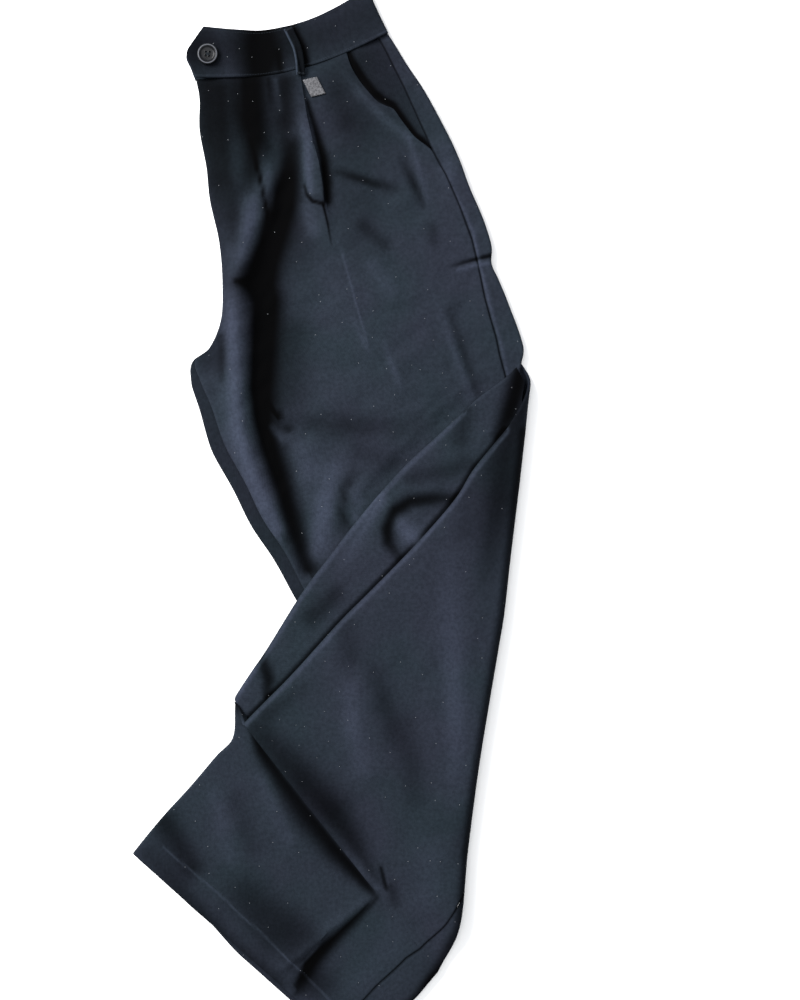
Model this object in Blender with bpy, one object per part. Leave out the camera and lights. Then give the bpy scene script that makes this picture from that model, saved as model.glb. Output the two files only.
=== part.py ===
"""Pleated wide-leg trousers, folded in half down the middle and laid on their right side.

The waist lies at +Y and the fly at -X. The legs lie on each other, and both are turned back
over the thighs at a fold near the knee, so that the hems lie at -Y. Sizes in the tables are
millimetres on the laid garment, measured from the middle of its plan.
"""

import math

import bmesh
import bpy
import numpy as np

MM = 0.001

# Driving sizes, in millimetres
CLOTH = 1.2
GAP = 0.3
BAND_CLOTH = 2.2
LEG_TUBE = 4.4
THIGH_STACK = 9.2
WAIST_STACK = 10.6
CALF_TUBE = 5.2
CALF_STACK = 10.6
HEM_STACK = 8.8
TUCK_STEP = 5.2
FOLD_CLEARANCE = 13.0
BUTTON_ACROSS = 18.0
BUTTON_THICK = 3.4
LOOP_WIDE = 9.0
LOOP_THICK = 1.4
TAB_THICK = 1.2

# Sections across the left leg, waist seam to knee: the fly or inseam edge, the hip edge,
# and how far the section sags between them.
THIGH_SECTIONS = (
    # inner_x, inner_y, hip_x, hip_y, sag
    (-118, 384.4, 49.5, 424.0, -13),
    (-115, 367, 66, 397, -11),
    (-115, 341, 80, 376, -9),
    (-109, 308, 96, 347, -6),
    (-106, 280, 110, 318, -3),
    (-98, 244, 120, 291, 0),
    (-95, 210, 132, 263, 0),
    (-96, 177, 139, 240, 0),
    (-106, 152, 139, 225, 0),
    (-119, 140, 145, 211, 0),
    (-114, 122, 151, 197, 0),
    (-105, 101, 156, 184, 0),
    (-93, 67, 161, 171, 0),
    (-75, 34, 165, 159, 0),
    (-60, 3, 167, 149, 0),
    (-41, -26, 165, 138, 0),
    (-25, -57, 163, 128, 0),
    (-13, -78, 161, 112, 0),
)
# The same sections go on under the turned-back legs, to the fold.
COVERED_SECTIONS = (
    (5, -120, 156, 62, 0),
    (36, -181, 148, -46, 0),
    (66, -242, 132, -140, 0),
    (97, -305, 114, -250, 0),
)
UNDER_EDGE = (
    # section, right leg reaches past the left leg by
    (0, 0),
    (4, 0),
    (8, 1),
    (9, 3),
    (10, 9),
    (12, 13),
    (15, 12),
    (21, 8),
)
SIDE_SEAM = ((40, 423), (63, 377), (88, 322), (99, 302), (111, 275), (122, 245), (129, 215),
             (133, 195), (138, 177), (143, 160), (146, 145), (151, 127), (154, 108))
POCKET_MOUTH = ((13, 409), (17, 400), (26, 386), (37, 372), (45, 366), (53, 362), (60, 352),
                (72, 336), (82, 328), (88, 322))
OUTER_PLEAT = ((-28, 392), (-26, 376), (-22, 350), (-17, 328), (-12, 311), (-8, 289),
               (-7, 275), (-1, 242), (8, 229), (18, 200), (28, 164), (39, 128), (60, 66))
VALLEY = ((-52, 385), (-46, 350), (-37, 318), (-40, 274), (-49, 231), (-59, 191), (-62, 157),
          (-62, 110), (-56, 71), (-45, 28), (-35, -7), (-21, -40), (-8, -66))

# Folds of the thigh: a line of points, each with the fold's reach to either side and height.
THIGH_FOLDS = (
    # x, y, reach towards -X, reach towards +X, height
    ("pocket", ((20, 408, 30, 25, 1.2), (50, 376, 30, 25, 1.3), (82, 338, 25, 20, 1.2),
                (95, 310, 20, 18, 0.0))),
    ("fullness", ((-20, 370, 60, 60, 2.0), (20, 300, 70, 60, 5.0), (50, 200, 75, 60, 7.0),
                  (60, 120, 75, 60, 6.5), (50, 60, 60, 60, 4.0))),
    ("fly_ridge", ((-95, 376, 10, 14, 1.5), (-91, 324, 12, 16, 4.5), (-82, 280, 13, 16, 7.0),
                   (-76, 245, 14, 14, 7.5), (-82, 202, 12, 12, 6.5), (-82, 158, 12, 11, 6.5),
                   (-82, 106, 12, 12, 7.5), (-72, 54, 12, 11, 6.5), (-55, 10, 11, 11, 5.0),
                   (-36, -36, 10, 10, 2.0))),
    ("inner_pleat", ((-66, 388, 14, 10, 1.0), (-66, 340, 12, 10, 2.0), (-58, 291, 10, 10, 3.0),
                     (-55, 262, 8, 8, 1.0))),
    ("outer_pleat", ((-28, 393, 14, 1.0, 2.0), (-22, 350, 16, 1.0, 4.5), (-12, 311, 17, 1.0, 5.0),
                     (-8, 285, 16, 1.2, 4.6), (-4, 255, 14, 6.0, 2.0), (4, 235, 12, 10, 0.0))),
    ("low_crossing", ((-52, 96, 16, 16, 2.0), (-10, 88, 20, 16, 3.5), (40, 60, 20, 16, 3.0))),
)

# Sections across the turned-back legs, from the fold's top end to the hem: the outseam edge,
# then the fold or inseam edge, then how far round the fold the cloth starts to be flat.
CALF_SECTIONS = (
    # outseam_x, outseam_y, fold_x, fold_y
    (150, 79, 168.2, 77),
    (123, 46, 163.8, 38),
    (106, 19, 160.3, 9),
    (72, -20, 155.0, -35),
    (34, -59, 150.2, -78),
    (8, -85, 145.5, -107),
    (-28, -125, 137.0, -157),
    (-43, -141, 127.5, -216),
    (-58, -156, 118.5, -285),
    (-69, -167, 111, -351),
    (-75.5, -174, 92.5, -391.5),
    (-86, -187, 83.5, -402),
    (-101, -204, 75, -412),
    (-123, -230, 61, -426),
    (-145, -254, 46, -442),
    (-161, -273, 34, -454),
    (-173, -288, 25, -464),
)
# The corner where the outseam climbs round the fold: place on the fold, length of cloth there,
# and the radius and lip of its turned edge.
FOLD_CORNER = (
    # fold_x, fold_y, cloth, edge radius, lip
    (169.5, 141, 3.5, 1.3, 0.3),
    (171.6, 132, 9.0, 1.3, 0.3),
    (172.8, 122, 16.0, 1.4, 0.5),
    (171.9, 112, 22.0, 1.5, 0.8),
    (170.6, 102, 28.0, 1.8, 1.3),
    (169.6, 92, 34.5, 2.2, 2.2),
)
KNEE_BAND = (
    # left leg's outseam edge, then how far the band goes on under the right leg
    # edge_x, edge_y, hidden_x, hidden_y
    (160, 134, 167, 121),
    (153, 127, 165, 108),
    (140, 117, 163, 92),
    (123, 104, 147, 60),
    (92, 75, 122, 19),
    (61, 46, 96, -14),
    (25, 5, 60, -52),
    (-2, -30, 27, -86),
    (-26, -62, 2, -112),
    (-54, -109, -25, -142),
    (-68, -131, -47, -159),
    (-81, -151, -60, -176),
    (-84, -160, -66, -184),
)
BAND_LIP = 4.0
TUCK_ROW = 10
TUCK_LINE = ((-75, -174), (-51, -207), (-28, -252), (5, -279), (39, -322), (92, -391))
# Where the inseam leaves the fold: place among the sections, distance from the fold's edge.
CALF_INSEAM = ((8.3, 0), (9, 12), (10, 26), (11, 30), (13, 32), (16, 31))
INSEAM_CLIMB = (7.5, 1.6)
CORNER_INWARD = (-0.992, -0.122)
CORNER_RADIUS = 10.5
EDGE_RADIUS = 2.4
FLAT_STEPS = 10
EDGE_LIP = 3.0
LEFT_HEM_PAST = 6.5
THIGH_INSEAM_POINT = (-25.0, -58.0)
THIGH_INSEAM_OUT = (-0.898, -0.441)
THIGH_INSEAM_LONG = 308.0
RAMP_START = 90.0
RAMP_END = 38.0
CALF_FOLDS = (
    ("fold_side", ((160, 60, 22, 12, -0.5), (145, -30, 26, 14, -1.5), (138, -110, 24, 12, -0.5))),
    ("knee_swell", ((120, 0, 22, 22, 1.5), (70, -40, 24, 24, 1.5), (20, -90, 20, 24, 1.5),
                    (-30, -135, 14, 20, 1.0))),
    ("shin_trough", ((60, -110, 16, 16, -1.2), (70, -180, 18, 18, -2.0), (85, -260, 14, 14, -0.5))),
    ("shin_swell", ((20, -110, 18, 18, 0.5), (28, -180, 20, 20, 1.6), (50, -250, 16, 16, 0.5))),
)

WAIST_END = (
    # end_x, end_y, side_x, side_y, sag, for the band's top, middle and seam
    (-111, 430, 31.6, 463.6, -16),
    (-119, 419, 35.8, 453.5, -15.5),
    (-126, 407, 40.2, 443.8, -15),
    (-122, 396, 44.8, 434.2, -14),
    (-118, 385.4, 49.4, 424.8, -13),
)
WAIST_FOLDS = (
    ("band_trough", ((-62, 428, 13, 14, -2.2), (-60, 388, 13, 14, -2.0))),
    ("band_end", ((-112, 425, 12, 14, 0.6), (-112, 390, 12, 14, 0.6))),
)
BUTTON_AT = (-107.0, 405.0)
LOOP_LINE = ((-39, 430.5), (-35, 422), (-30, 411), (-27.5, 400), (-26.8, 392), (-26.4, 386.5))
TAB_CORNERS = ((-25.0, 383.0), (-12.6, 385.6), (-5.0, 371.2), (-17.6, 368.2))

COLOURS = {
    "cloth": (0.022, 0.027, 0.036, 1.0),
    "button": (0.012, 0.012, 0.014, 1.0),
    "tab": (0.16, 0.16, 0.17, 1.0),
}
ROUGHNESS = {"cloth": 0.8, "button": 0.25, "tab": 0.7}


def smooth(rows, samples):
    """Points read from a smooth curve through the rows, at evenly spaced steps."""
    points = np.array(rows, float)
    steps = np.linspace(0, len(points) - 1, samples)
    i = np.minimum(steps.astype(int), len(points) - 2)
    f = (steps - i)[:, None]
    p = np.vstack([2 * points[0] - points[1], points, 2 * points[-1] - points[-2]])
    a, b, c, d = p[i], p[i + 1], p[i + 2], p[i + 3]
    return 0.5 * (2 * b + (c - a) * f + (2 * a - 5 * b + 4 * c - d) * f**2
                  + (3 * b - a - 3 * c + d) * f**3)


def step(t):
    """A smooth step from 0 to 1 as t goes from 0 to 1."""
    t = np.clip(t, 0, 1)
    return t * t * (3 - 2 * t)


def beside(x, y, curve):
    """Distance from a curve, negative on its -X side as it runs towards -Y, and place along it."""
    points = np.array(curve, float)
    best = np.full(np.shape(x), np.inf)
    signed, place = np.zeros(np.shape(x)), np.zeros(np.shape(x))
    for k in range(len(points) - 1):
        start, run = points[k], points[k + 1] - points[k]
        t = np.clip(((x - start[0]) * run[0] + (y - start[1]) * run[1]) / (run @ run), 0, 1)
        dx, dy = x - start[0] - t * run[0], y - start[1] - t * run[1]
        away = np.hypot(dx, dy)
        side = np.sign(run[0] * dy - run[1] * dx)
        near = away < best
        best = np.where(near, away, best)
        signed = np.where(near, side * away, signed)
        place = np.where(near, k + t, place)
    return signed, place


def fold_height(x, y, folds):
    """Sum of soft ridges and troughs, each a bell across its line."""
    total = np.zeros(np.shape(x))
    for _, rows in folds:
        table = np.array(rows, float)
        away, place = beside(x, y, table[:, :2])
        stations = np.arange(len(table))
        before = np.interp(place, stations, table[:, 2])
        after = np.interp(place, stations, table[:, 3])
        height = np.interp(place, stations, table[:, 4])
        reach = np.where(away < 0, before, after)
        total += height * np.exp(-(away / reach) ** 2)
    return total


def thigh_ramp(x, y):
    """1 over the thighs, falling to 0 on the surface past the inseam edges."""
    dx, dy = x - THIGH_INSEAM_POINT[0], y - THIGH_INSEAM_POINT[1]
    out = dx * THIGH_INSEAM_OUT[0] + dy * THIGH_INSEAM_OUT[1]
    along = -dx * THIGH_INSEAM_OUT[1] + dy * THIGH_INSEAM_OUT[0]
    reach = RAMP_START + (RAMP_END - RAMP_START) * np.clip(along / THIGH_INSEAM_LONG, 0, 1)
    return 1 - step((out + 2) / reach)


def rest_height(x, y):
    """What the turned-back legs lie on: the thighs, and the surface past them."""
    swell = 2.5 * np.exp(-((x - 95) / 60) ** 2 - ((y - 20) / 90) ** 2)
    return (THIGH_STACK + 0.3 + swell) * thigh_ramp(x, y)


KNEE_LINE = [(row[0], row[1]) for row in KNEE_BAND]


def thigh_height(x, y):
    """Top of the left leg from the waist seam to the knee."""
    free = THIGH_STACK + fold_height(x, y, THIGH_FOLDS)
    floor = THIGH_STACK - 0.4
    free = floor + np.logaddexp(0, (free - floor) * 1.5) / 1.5
    away, _ = beside(x, y, KNEE_LINE)
    covered = step((away + 18) / 16)
    lying = THIGH_STACK - 0.1 + (rest_height(x, y) - THIGH_STACK - 0.3) * thigh_ramp(x, y)
    return free * (1 - covered) + np.minimum(free, np.maximum(lying, floor)) * covered


def waist_height(x, y):
    return WAIST_STACK + fold_height(x, y, WAIST_FOLDS)


def calf_height(x, y):
    """Top of the right leg where it is turned back, before the tuck."""
    return rest_height(x, y) + CALF_STACK + fold_height(x, y, CALF_FOLDS)


def band_height(x, y):
    """Top of the left leg where it shows between the two outseams."""
    return rest_height(x, y) + CALF_TUBE


def crossing(start, end, curve):
    """Where a section from start to end meets a curve, as a distance from start."""
    across = end - start
    length = np.linalg.norm(across)
    line = smooth(curve, 12 * len(curve))
    rel = line - start
    side = (across[0] * rel[:, 1] - across[1] * rel[:, 0]) / length
    along = rel @ across / length
    change = np.nonzero(side[:-1] * side[1:] <= 0)[0]
    if len(change):
        k = change[0]
        t = side[k] / (side[k] - side[k + 1] + 1e-12)
        return along[k] + t * (along[k + 1] - along[k])
    return along[0] if abs(side[0]) < abs(side[-1]) else along[-1]


def edge_roll(radius, lip, turns, cloth):
    """An edge that turns under: inset and drop of the outer and inner face, lip to top."""
    rows = []
    if lip > 0:
        rows.append((radius + lip, 2 * radius, radius + lip, 2 * radius - cloth))
    inner = max(radius - cloth, 0.12)
    for angle in np.linspace(-90, 90, turns + 1)[(0 if lip > 0 else 1):-1]:
        c, s = math.cos(math.radians(angle)), math.sin(math.radians(angle))
        rows.append((radius - radius * c, radius - radius * s, radius - inner * c, radius - inner * s))
    return rows


def section_points(row, inner_roll, outer_roll, marks, counts, height, cloth, radii):
    """Outer and inner points of one section.

    marks are distances from the section's start and counts the steps between them. A roll of
    None leaves that end cut square at its mark.
    """
    start, end = np.array(row[:2], float), np.array(row[2:4], float)
    sag = row[4] if len(row) > 4 else 0.0
    length = np.linalg.norm(end - start)
    run = (end - start) / length
    normal = np.array([-run[1], run[0]])

    def plan(inset):
        return start + run * inset + normal * sag * math.sin(math.pi * min(max(inset / length, 0), 1))

    flat = []
    for k, count in enumerate(counts):
        flat += list(np.linspace(marks[k], marks[k + 1], count + 1)[(0 if k == 0 else 1):])
    outer, inner = [], []
    if inner_roll:
        top = float(height(*plan(marks[0])))
        for inset, drop, inset_in, drop_in in edge_roll(radii[0], *inner_roll, cloth):
            outer.append((*plan(inset), top - drop))
            inner.append((*plan(inset_in), top - drop_in))
    for inset in flat:
        x, y = plan(inset)
        z = float(height(x, y))
        outer.append((x, y, z))
        inner.append((x, y, z - cloth))
    if outer_roll:
        top = float(height(*plan(marks[-1])))
        for inset, drop, inset_in, drop_in in reversed(edge_roll(radii[1], *outer_roll, cloth)):
            outer.append((*plan(length - inset), top - drop))
            inner.append((*plan(length - inset_in), top - drop_in))
    return outer, inner


def material(name):
    found = bpy.data.materials.get(name)
    if found:
        return found
    made = bpy.data.materials.new(name)
    made.use_nodes = True
    shader = made.node_tree.nodes["Principled BSDF"]
    shader.inputs["Base Color"].default_value = COLOURS[name]
    shader.inputs["Roughness"].default_value = ROUGHNESS[name]
    shader.inputs["Metallic"].default_value = 0.0
    return made


def add_object(name, vertices, faces, finish):
    """A closed mesh object, with its faces turned out."""
    mesh = bpy.data.meshes.new(name)
    mesh.from_pydata([[c * MM for c in v] for v in vertices], [], faces)
    shape = bmesh.new()
    shape.from_mesh(mesh)
    bmesh.ops.triangulate(shape, faces=shape.faces)
    if shape.calc_volume(signed=True) < 0:
        bmesh.ops.reverse_faces(shape, faces=shape.faces)
    shape.to_mesh(mesh)
    shape.free()
    mesh.shade_smooth()
    mesh.set_sharp_from_angle(angle=math.radians(40))
    made = bpy.data.objects.new(name, mesh)
    made.data.materials.append(material(finish))
    bpy.context.scene.collection.objects.link(made)
    return made


def wall(name, outer, inner, finish="cloth"):
    """A closed wall between two grids of points."""
    outer, inner = np.array(outer), np.array(inner)
    rows, columns = outer.shape[:2]
    vertices = [tuple(p) for p in outer.reshape(-1, 3)] + [tuple(p) for p in inner.reshape(-1, 3)]
    under = rows * columns
    faces = []
    for i in range(rows - 1):
        for j in range(columns - 1):
            a = i * columns + j
            b, c, d = a + columns, a + columns + 1, a + 1
            faces += [(a, b, c, d), (d + under, c + under, b + under, a + under)]
    rim = [j for j in range(columns)] + [i * columns + columns - 1 for i in range(1, rows)]
    rim += [(rows - 1) * columns + j for j in range(columns - 2, -1, -1)]
    rim += [i * columns for i in range(rows - 2, 0, -1)]
    for a, b in zip(rim, rim[1:] + rim[:1]):
        faces.append((a, b, b + under, a + under))
    return add_object(name, vertices, faces, finish)


def stack(name, rings, finish="cloth"):
    """A closed solid through rings of equal length."""
    rings = np.array(rings)
    count, size = rings.shape[:2]
    vertices = [tuple(p) for p in rings.reshape(-1, 3)]
    faces = []
    for i in range(count - 1):
        for j in range(size):
            a, b = i * size + j, i * size + (j + 1) % size
            faces.append((a, b, b + size, a + size))
    faces.append(tuple(range(size))[::-1])
    faces.append(tuple((count - 1) * size + j for j in range(size)))
    return add_object(name, vertices, faces, finish)


def thigh_rows(count):
    return smooth(THIGH_SECTIONS, count)


def leg_radius(row, end_of):
    """Half the height of the left leg's rolled edge at a section."""
    start, end = row[:2], row[2:4]
    length = np.linalg.norm(end - start)
    run = (end - start) / length
    radius = 2.3
    for _ in range(8):
        x, y = start + run * (length - radius if end_of else radius)
        radius = (float(thigh_height(x, y)) - LEG_TUBE - GAP) / 2
    return radius


def thigh_marks(row):
    """Distances along a section of its rolls, valley, pleat, pocket mouth and side seam."""
    start, end = row[:2], row[2:4]
    length = np.linalg.norm(end - start)
    left = leg_radius(row, 0)
    right = leg_radius(row, 1)
    valley = crossing(start, end, VALLEY)
    pleat = crossing(start, end, OUTER_PLEAT)
    seam = min(crossing(start, end, SIDE_SEAM), length - right - 3)
    mouth = crossing(start, end, POCKET_MOUTH)
    pleat = min(max(pleat, valley + 8), seam - 20)
    return left, valley, pleat, mouth, seam, right, length


def left_front(rows=25):
    outer, inner = [], []
    for row in thigh_rows(rows):
        left, valley, pleat, mouth, seam, _, _ = thigh_marks(row)
        in_pocket = row[3] > POCKET_MOUTH[-1][1] + 18
        edge = (mouth if in_pocket else seam) - GAP / 2
        marks = (left, valley - 9, valley + 9, pleat - 1.1, pleat + 1.1, edge)
        out, back = section_points(row, (5.0, 5), None, marks, (3, 3, 2, 1, 5), thigh_height, CLOTH,
                                   (left, 0))
        outer.append(out)
        inner.append(back)
    return wall("left_front", outer, inner)


def left_back(rows=25):
    outer, inner = [], []
    for row in thigh_rows(rows):
        _, _, _, _, seam, right, length = thigh_marks(row)
        marks = (seam + GAP / 2, length - right)
        out, back = section_points(row, None, (9.0, 5), marks, (3,), thigh_height, CLOTH, (0, right))
        outer.append(out)
        inner.append(back)
    return wall("left_back", outer, inner)


def pocket_facing(rows=9):
    """The side piece that shows between the pocket's slanting mouth and the side seam."""
    outer, inner = [], []
    for row in thigh_rows(97):
        if row[3] < POCKET_MOUTH[-1][1] + 22:
            break
        _, _, _, mouth, seam, _, _ = thigh_marks(row)

        def sunk(x, y):
            return thigh_height(x, y) - CLOTH - GAP

        marks = (mouth - 5.0, mouth + 0.6, seam - GAP / 2)
        out, back = section_points(row, None, None, marks, (1, 3), sunk, CLOTH, (0, 0))
        outer.append(out)
        inner.append(back)
    chosen = np.linspace(0, len(outer) - 1, rows).astype(int)
    return wall("pocket_facing", [outer[i] for i in chosen], [inner[i] for i in chosen])


def inner_thigh(rows=25):
    """The hidden layers of the hips and thighs, one solid with the right leg's own edges."""
    table = list(smooth(THIGH_SECTIONS, rows)) + list(smooth(
        THIGH_SECTIONS[-1:] + COVERED_SECTIONS, 7))[1:]
    per_section = (len(THIGH_SECTIONS) - 1) / (rows - 1)
    past = np.array(UNDER_EDGE, float)
    rings = []
    for k, row in enumerate(table):
        place = k * per_section
        if k >= rows:
            place = len(THIGH_SECTIONS) - 1 + (k - rows + 1) * len(COVERED_SECTIONS) / 6
        start, end = row[:2], row[2:4]
        length = np.linalg.norm(end - start)
        run = (end - start) / length
        under = np.interp(place, past[:, 0], past[:, 1])
        inset = FOLD_CLEARANCE * step((place - 12.0) / 2.2)
        left, valley, pleat, mouth, seam, right, _ = thigh_marks(row)
        right_in = length - inset
        low = LEG_TUBE / 2
        in_pocket = row[3] > POCKET_MOUTH[-1][1] + 18
        edge = mouth if in_pocket else seam
        flats = [left + CLOTH + 1.2]
        if place <= len(THIGH_SECTIONS) - 1:
            flats += list(np.linspace(left, valley - 9, 4)[1:])
            flats += list(np.linspace(valley - 9, valley + 9, 4)[1:])
            flats += [(valley + 9 + pleat - 1.1) / 2, pleat - 1.1, pleat + 1.1]
            flats += list(np.linspace(pleat + 1.1, edge, 6)[1:])
            flats.append(min(edge + (length - right - edge) * 0.5, right_in - 8))
        else:
            flats += list(np.linspace(flats[0], right_in - 8, 16)[1:])
        flats.append(right_in - right - CLOTH - 1.6)
        flats = list(np.maximum.accumulate(flats))
        for j in range(1, len(flats)):
            flats[j] = max(flats[j], flats[j - 1] + 0.15)
        top = []
        for a in flats:
            sag = row[4] * math.sin(math.pi * min(max(a / length, 0), 1))
            x, y = start + run * a + np.array([-run[1], run[0]]) * sag
            clear = CLOTH + 0.6 + (1.5 if in_pocket and a > mouth - 24 else 0)
            top.append((x, y, max(float(thigh_height(x, y)) - clear, LEG_TUBE + 2.3)))
        lift = 1.5 * step((place - 13.5) / 3.0)

        def side(a, z):
            sag = row[4] * math.sin(math.pi * min(max(a / length, 0), 1))
            x, y = start + run * a + np.array([-run[1], run[0]]) * sag
            return (x, y, max(z, lift))

        shelf_left = left + 5.0 + 1.2
        shelf_right = right_in - right - 9.0 - 1.4
        under_leg = LEG_TUBE + 2 * GAP + CLOTH + 0.1
        ring = [side(low - under, 0), side(0.6 - under, 0.7), side(-under, low),
                side(0.6 - under, LEG_TUBE - 0.7), side(low - under, LEG_TUBE),
                side(shelf_left, LEG_TUBE), side(shelf_left, under_leg),
                (side(flats[0], under_leg + 0.1))]
        ring += top
        ring += [side(flats[-1] + 0.2, under_leg + 0.1), side(shelf_right, under_leg),
                 side(shelf_right, LEG_TUBE), side(right_in - low - 0.8, LEG_TUBE),
                 side(right_in - 1.4, LEG_TUBE - 0.7), side(right_in - 0.8, low),
                 side(right_in - 1.4, 0.7)]
        ring += [side(a, 0) for a in np.linspace(right_in - low - 0.8, low - under, 7)[:-1]]
        rings.append(ring)
    return stack("inner_thigh", rings)


def waist_rows(count):
    return smooth(WAIST_END, count)


def waistband_left(rows=7):
    outer, inner = [], []
    for row in waist_rows(rows):
        length = np.linalg.norm(row[2:4] - row[:2])
        radius = BAND_CLOTH + 0.4
        marks = (0.0, 45.0, 85.0, length - radius)
        out, back = section_points(row, None, (7.0, 5), marks, (5, 5, 5), waist_height, BAND_CLOTH,
                                   (0, radius))
        outer.append(out)
        inner.append(back)
    return wall("waistband_left", outer, inner)


def waistband_right(rows=7):
    """The lower half of the waistband, with the end that lies under the button."""
    outer, inner = [], []
    radius = BAND_CLOTH + 0.4
    for row in waist_rows(rows):
        row = row.copy()
        row[0] -= 1.5
        length = np.linalg.norm(row[2:4] - row[:2])
        marks = (0.0, length - radius)
        out, back = section_points(row, None, (7.0, 5), marks, (8,), lambda x, y: 2 * radius,
                                   BAND_CLOTH, (0, radius))
        flipped = [[(x, y, 2 * radius - z) for x, y, z in side] for side in (out, back)]
        outer.append(flipped[0])
        inner.append(flipped[1])
    return wall("waistband_right", outer, inner)


def waistband_back(rows=7):
    """The two hidden back layers of the waistband, parted at their edges."""
    rings = []
    radius = BAND_CLOTH + 0.4
    low = BAND_CLOTH + GAP
    upright = 2 * radius
    for row in waist_rows(rows):
        start, end = row[:2], row[2:4]
        length = np.linalg.norm(end - start)
        run = (end - start) / length

        def at(a, z):
            sag = row[4] * math.sin(math.pi * min(max(a / length, 0), 1))
            x, y = start + run * a + np.array([-run[1], run[0]]) * sag
            return (x, y, z)

        right = length - radius - 8.4
        tops = []
        for a in np.linspace(6.0, right, 14):
            x, y, _ = at(a, 0)
            tops.append((x, y, float(waist_height(x, y)) - BAND_CLOTH - GAP - 0.2))
        middle = (low + upright) / 2 + 0.2
        ring = [at(6.0, low + 0.2), at(4.5, low + 0.8), at(4.5, middle - 0.4), at(7.5, middle),
                at(4.8, middle + 0.5), at(5.0, middle + 1.2)]
        ring += tops
        ring += [at(right + 0.8, middle + 0.8), at(right - 1.5, middle), at(right + 0.8, middle - 0.6),
                 at(right, low + 0.2)]
        ring += [at(a, low + 0.2) for a in np.linspace(right, 6.0, 9)[1:-1]]
        rings.append(ring)
    return stack("waistband_back", rings)


def knee_band(rows=21):
    """The left leg's back panel, turned back, where it shows between the two outseams."""
    outer, inner = [], []
    for row in smooth(KNEE_BAND, rows):
        length = np.linalg.norm(row[2:4] - row[:2])
        radius = (CALF_TUBE - 2 * GAP) / 2
        marks = (radius, length)
        out, back = section_points(row, (BAND_LIP, 4), None, marks, (5,), band_height, CLOTH,
                                   (radius, 0))
        outer.append(out)
        inner.append(back)
    return wall("left_calf_back", outer, inner)


def calf_top(x, y, share, past_tuck):
    """Top of the turned-back right leg: share runs 0 to 1 across it, outseam to fold."""
    tucked = TUCK_STEP * np.clip(1 - share / 0.68, 0, 1)
    rest = rest_height(x, y)
    hem = HEM_STACK + 1.2 * np.exp(-((share - 0.25) / 0.15) ** 2)
    if past_tuck:
        return rest + hem
    near, _ = beside(x, y, TUCK_LINE)
    low_part = step((-y - 150 - 0.6 * x) / 120)
    upper = (calf_height(x, y) - rest) * (1 - low_part) + (hem + tucked) * low_part
    fall = step(np.abs(near) / 30)
    return rest + upper * fall + (hem + tucked) * (1 - fall)


def calf_rows(rows=16):
    """Sections of the turned-back right leg, two of them close together at the tuck.

    Each has its fold point, its direction and length, whether it is past the tuck, the length
    of cloth between the fold's underside and the inseam, and the height the fold starts at.
    """
    table = np.array(CALF_SECTIONS, float)
    seam = np.array(CALF_INSEAM, float)
    places = list(np.linspace(0, 7.5, rows)) + [7.8, 8.1, 8.35, 8.6, 8.85, 9.1, 9.35, 9.7, TUCK_ROW]
    places += [TUCK_ROW + 0.12]
    places += list(np.linspace(TUCK_ROW + 1, len(table) - 1, 7))
    curve_up, curve_down = table[:TUCK_ROW + 1], table[TUCK_ROW:]
    made = []
    for place in places:
        past = place > TUCK_ROW
        if past:
            row = at_place(curve_down, place - TUCK_ROW)
        else:
            row = at_place(curve_up, place)
        out_edge, fold = row[:2], row[2:4]
        length = np.linalg.norm(out_edge - fold)
        inward = (out_edge - fold) / length
        share = 1 - 6.0 / length
        top = float(calf_top(*(fold + inward * 6.0), share, past))
        on_floor = past_fold(fold)
        lift = (float(rest_height(*(fold + inward * 6.0))) + HEM_STACK / 2 + 0.2) * on_floor
        radius = (top - lift) / 2
        start = np.interp(place, seam[:, 0], seam[:, 1])
        start += (math.pi - 1) * radius * step((place - INSEAM_CLIMB[0]) / INSEAM_CLIMB[1])
        made.append((place, fold, inward, length, past, start, lift, radius, top))
    return made


def past_fold(fold):
    """0 along the fold, 1 where its edge is the inseam alone."""
    return step((-fold[1] - 268) / 100)


def at_place(table, place):
    """One row of a table read at a place between its rows."""
    near = np.array(table, float)
    count = len(near) - 1
    fine = smooth(near, count * 50 + 1)
    return fine[int(round(place * 50))]


def calf_point(section, s):
    """Outer and inner point at a length of cloth s from the fold's underside."""
    _, fold, inward, length, past, _, lift, radius, top = section
    half = math.pi * radius
    if s <= half:
        angle = -math.pi / 2 + s / radius
        c, n = math.cos(angle), math.sin(angle)
        thin = radius - CLOTH
        return ((*(fold + inward * (radius - radius * c)), lift + radius + radius * n),
                (*(fold + inward * (radius - thin * c)), lift + radius + thin * n))
    inset = radius + s - half
    x, y = fold + inward * inset
    free = float(calf_top(x, y, 1 - inset / length, past))
    z = top + (free - top) * step((inset - radius) / 15)
    return (x, y, z), (x, y, z - CLOTH)


def turned_edge(at, along, out, radius, lip, turns):
    """An edge of cloth turned under: at is where the turn starts on the outer face, along points
    off the edge and out points away from the outer face."""
    at, along, out = (np.array(v, float) for v in (at, along, out))
    centre = at - out * radius
    thin = radius - CLOTH
    outer, inner = [], []
    for angle in np.linspace(90, -90, turns + 1)[1:]:
        c, n = math.cos(math.radians(angle)), math.sin(math.radians(angle))
        outer.append(tuple(centre + (along * c + out * n) * radius))
        inner.append(tuple(centre + (along * c + out * n) * thin))
    outer.append(tuple(centre - out * radius - along * lip))
    inner.append(tuple(centre - out * thin - along * lip))
    return outer, inner


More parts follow.
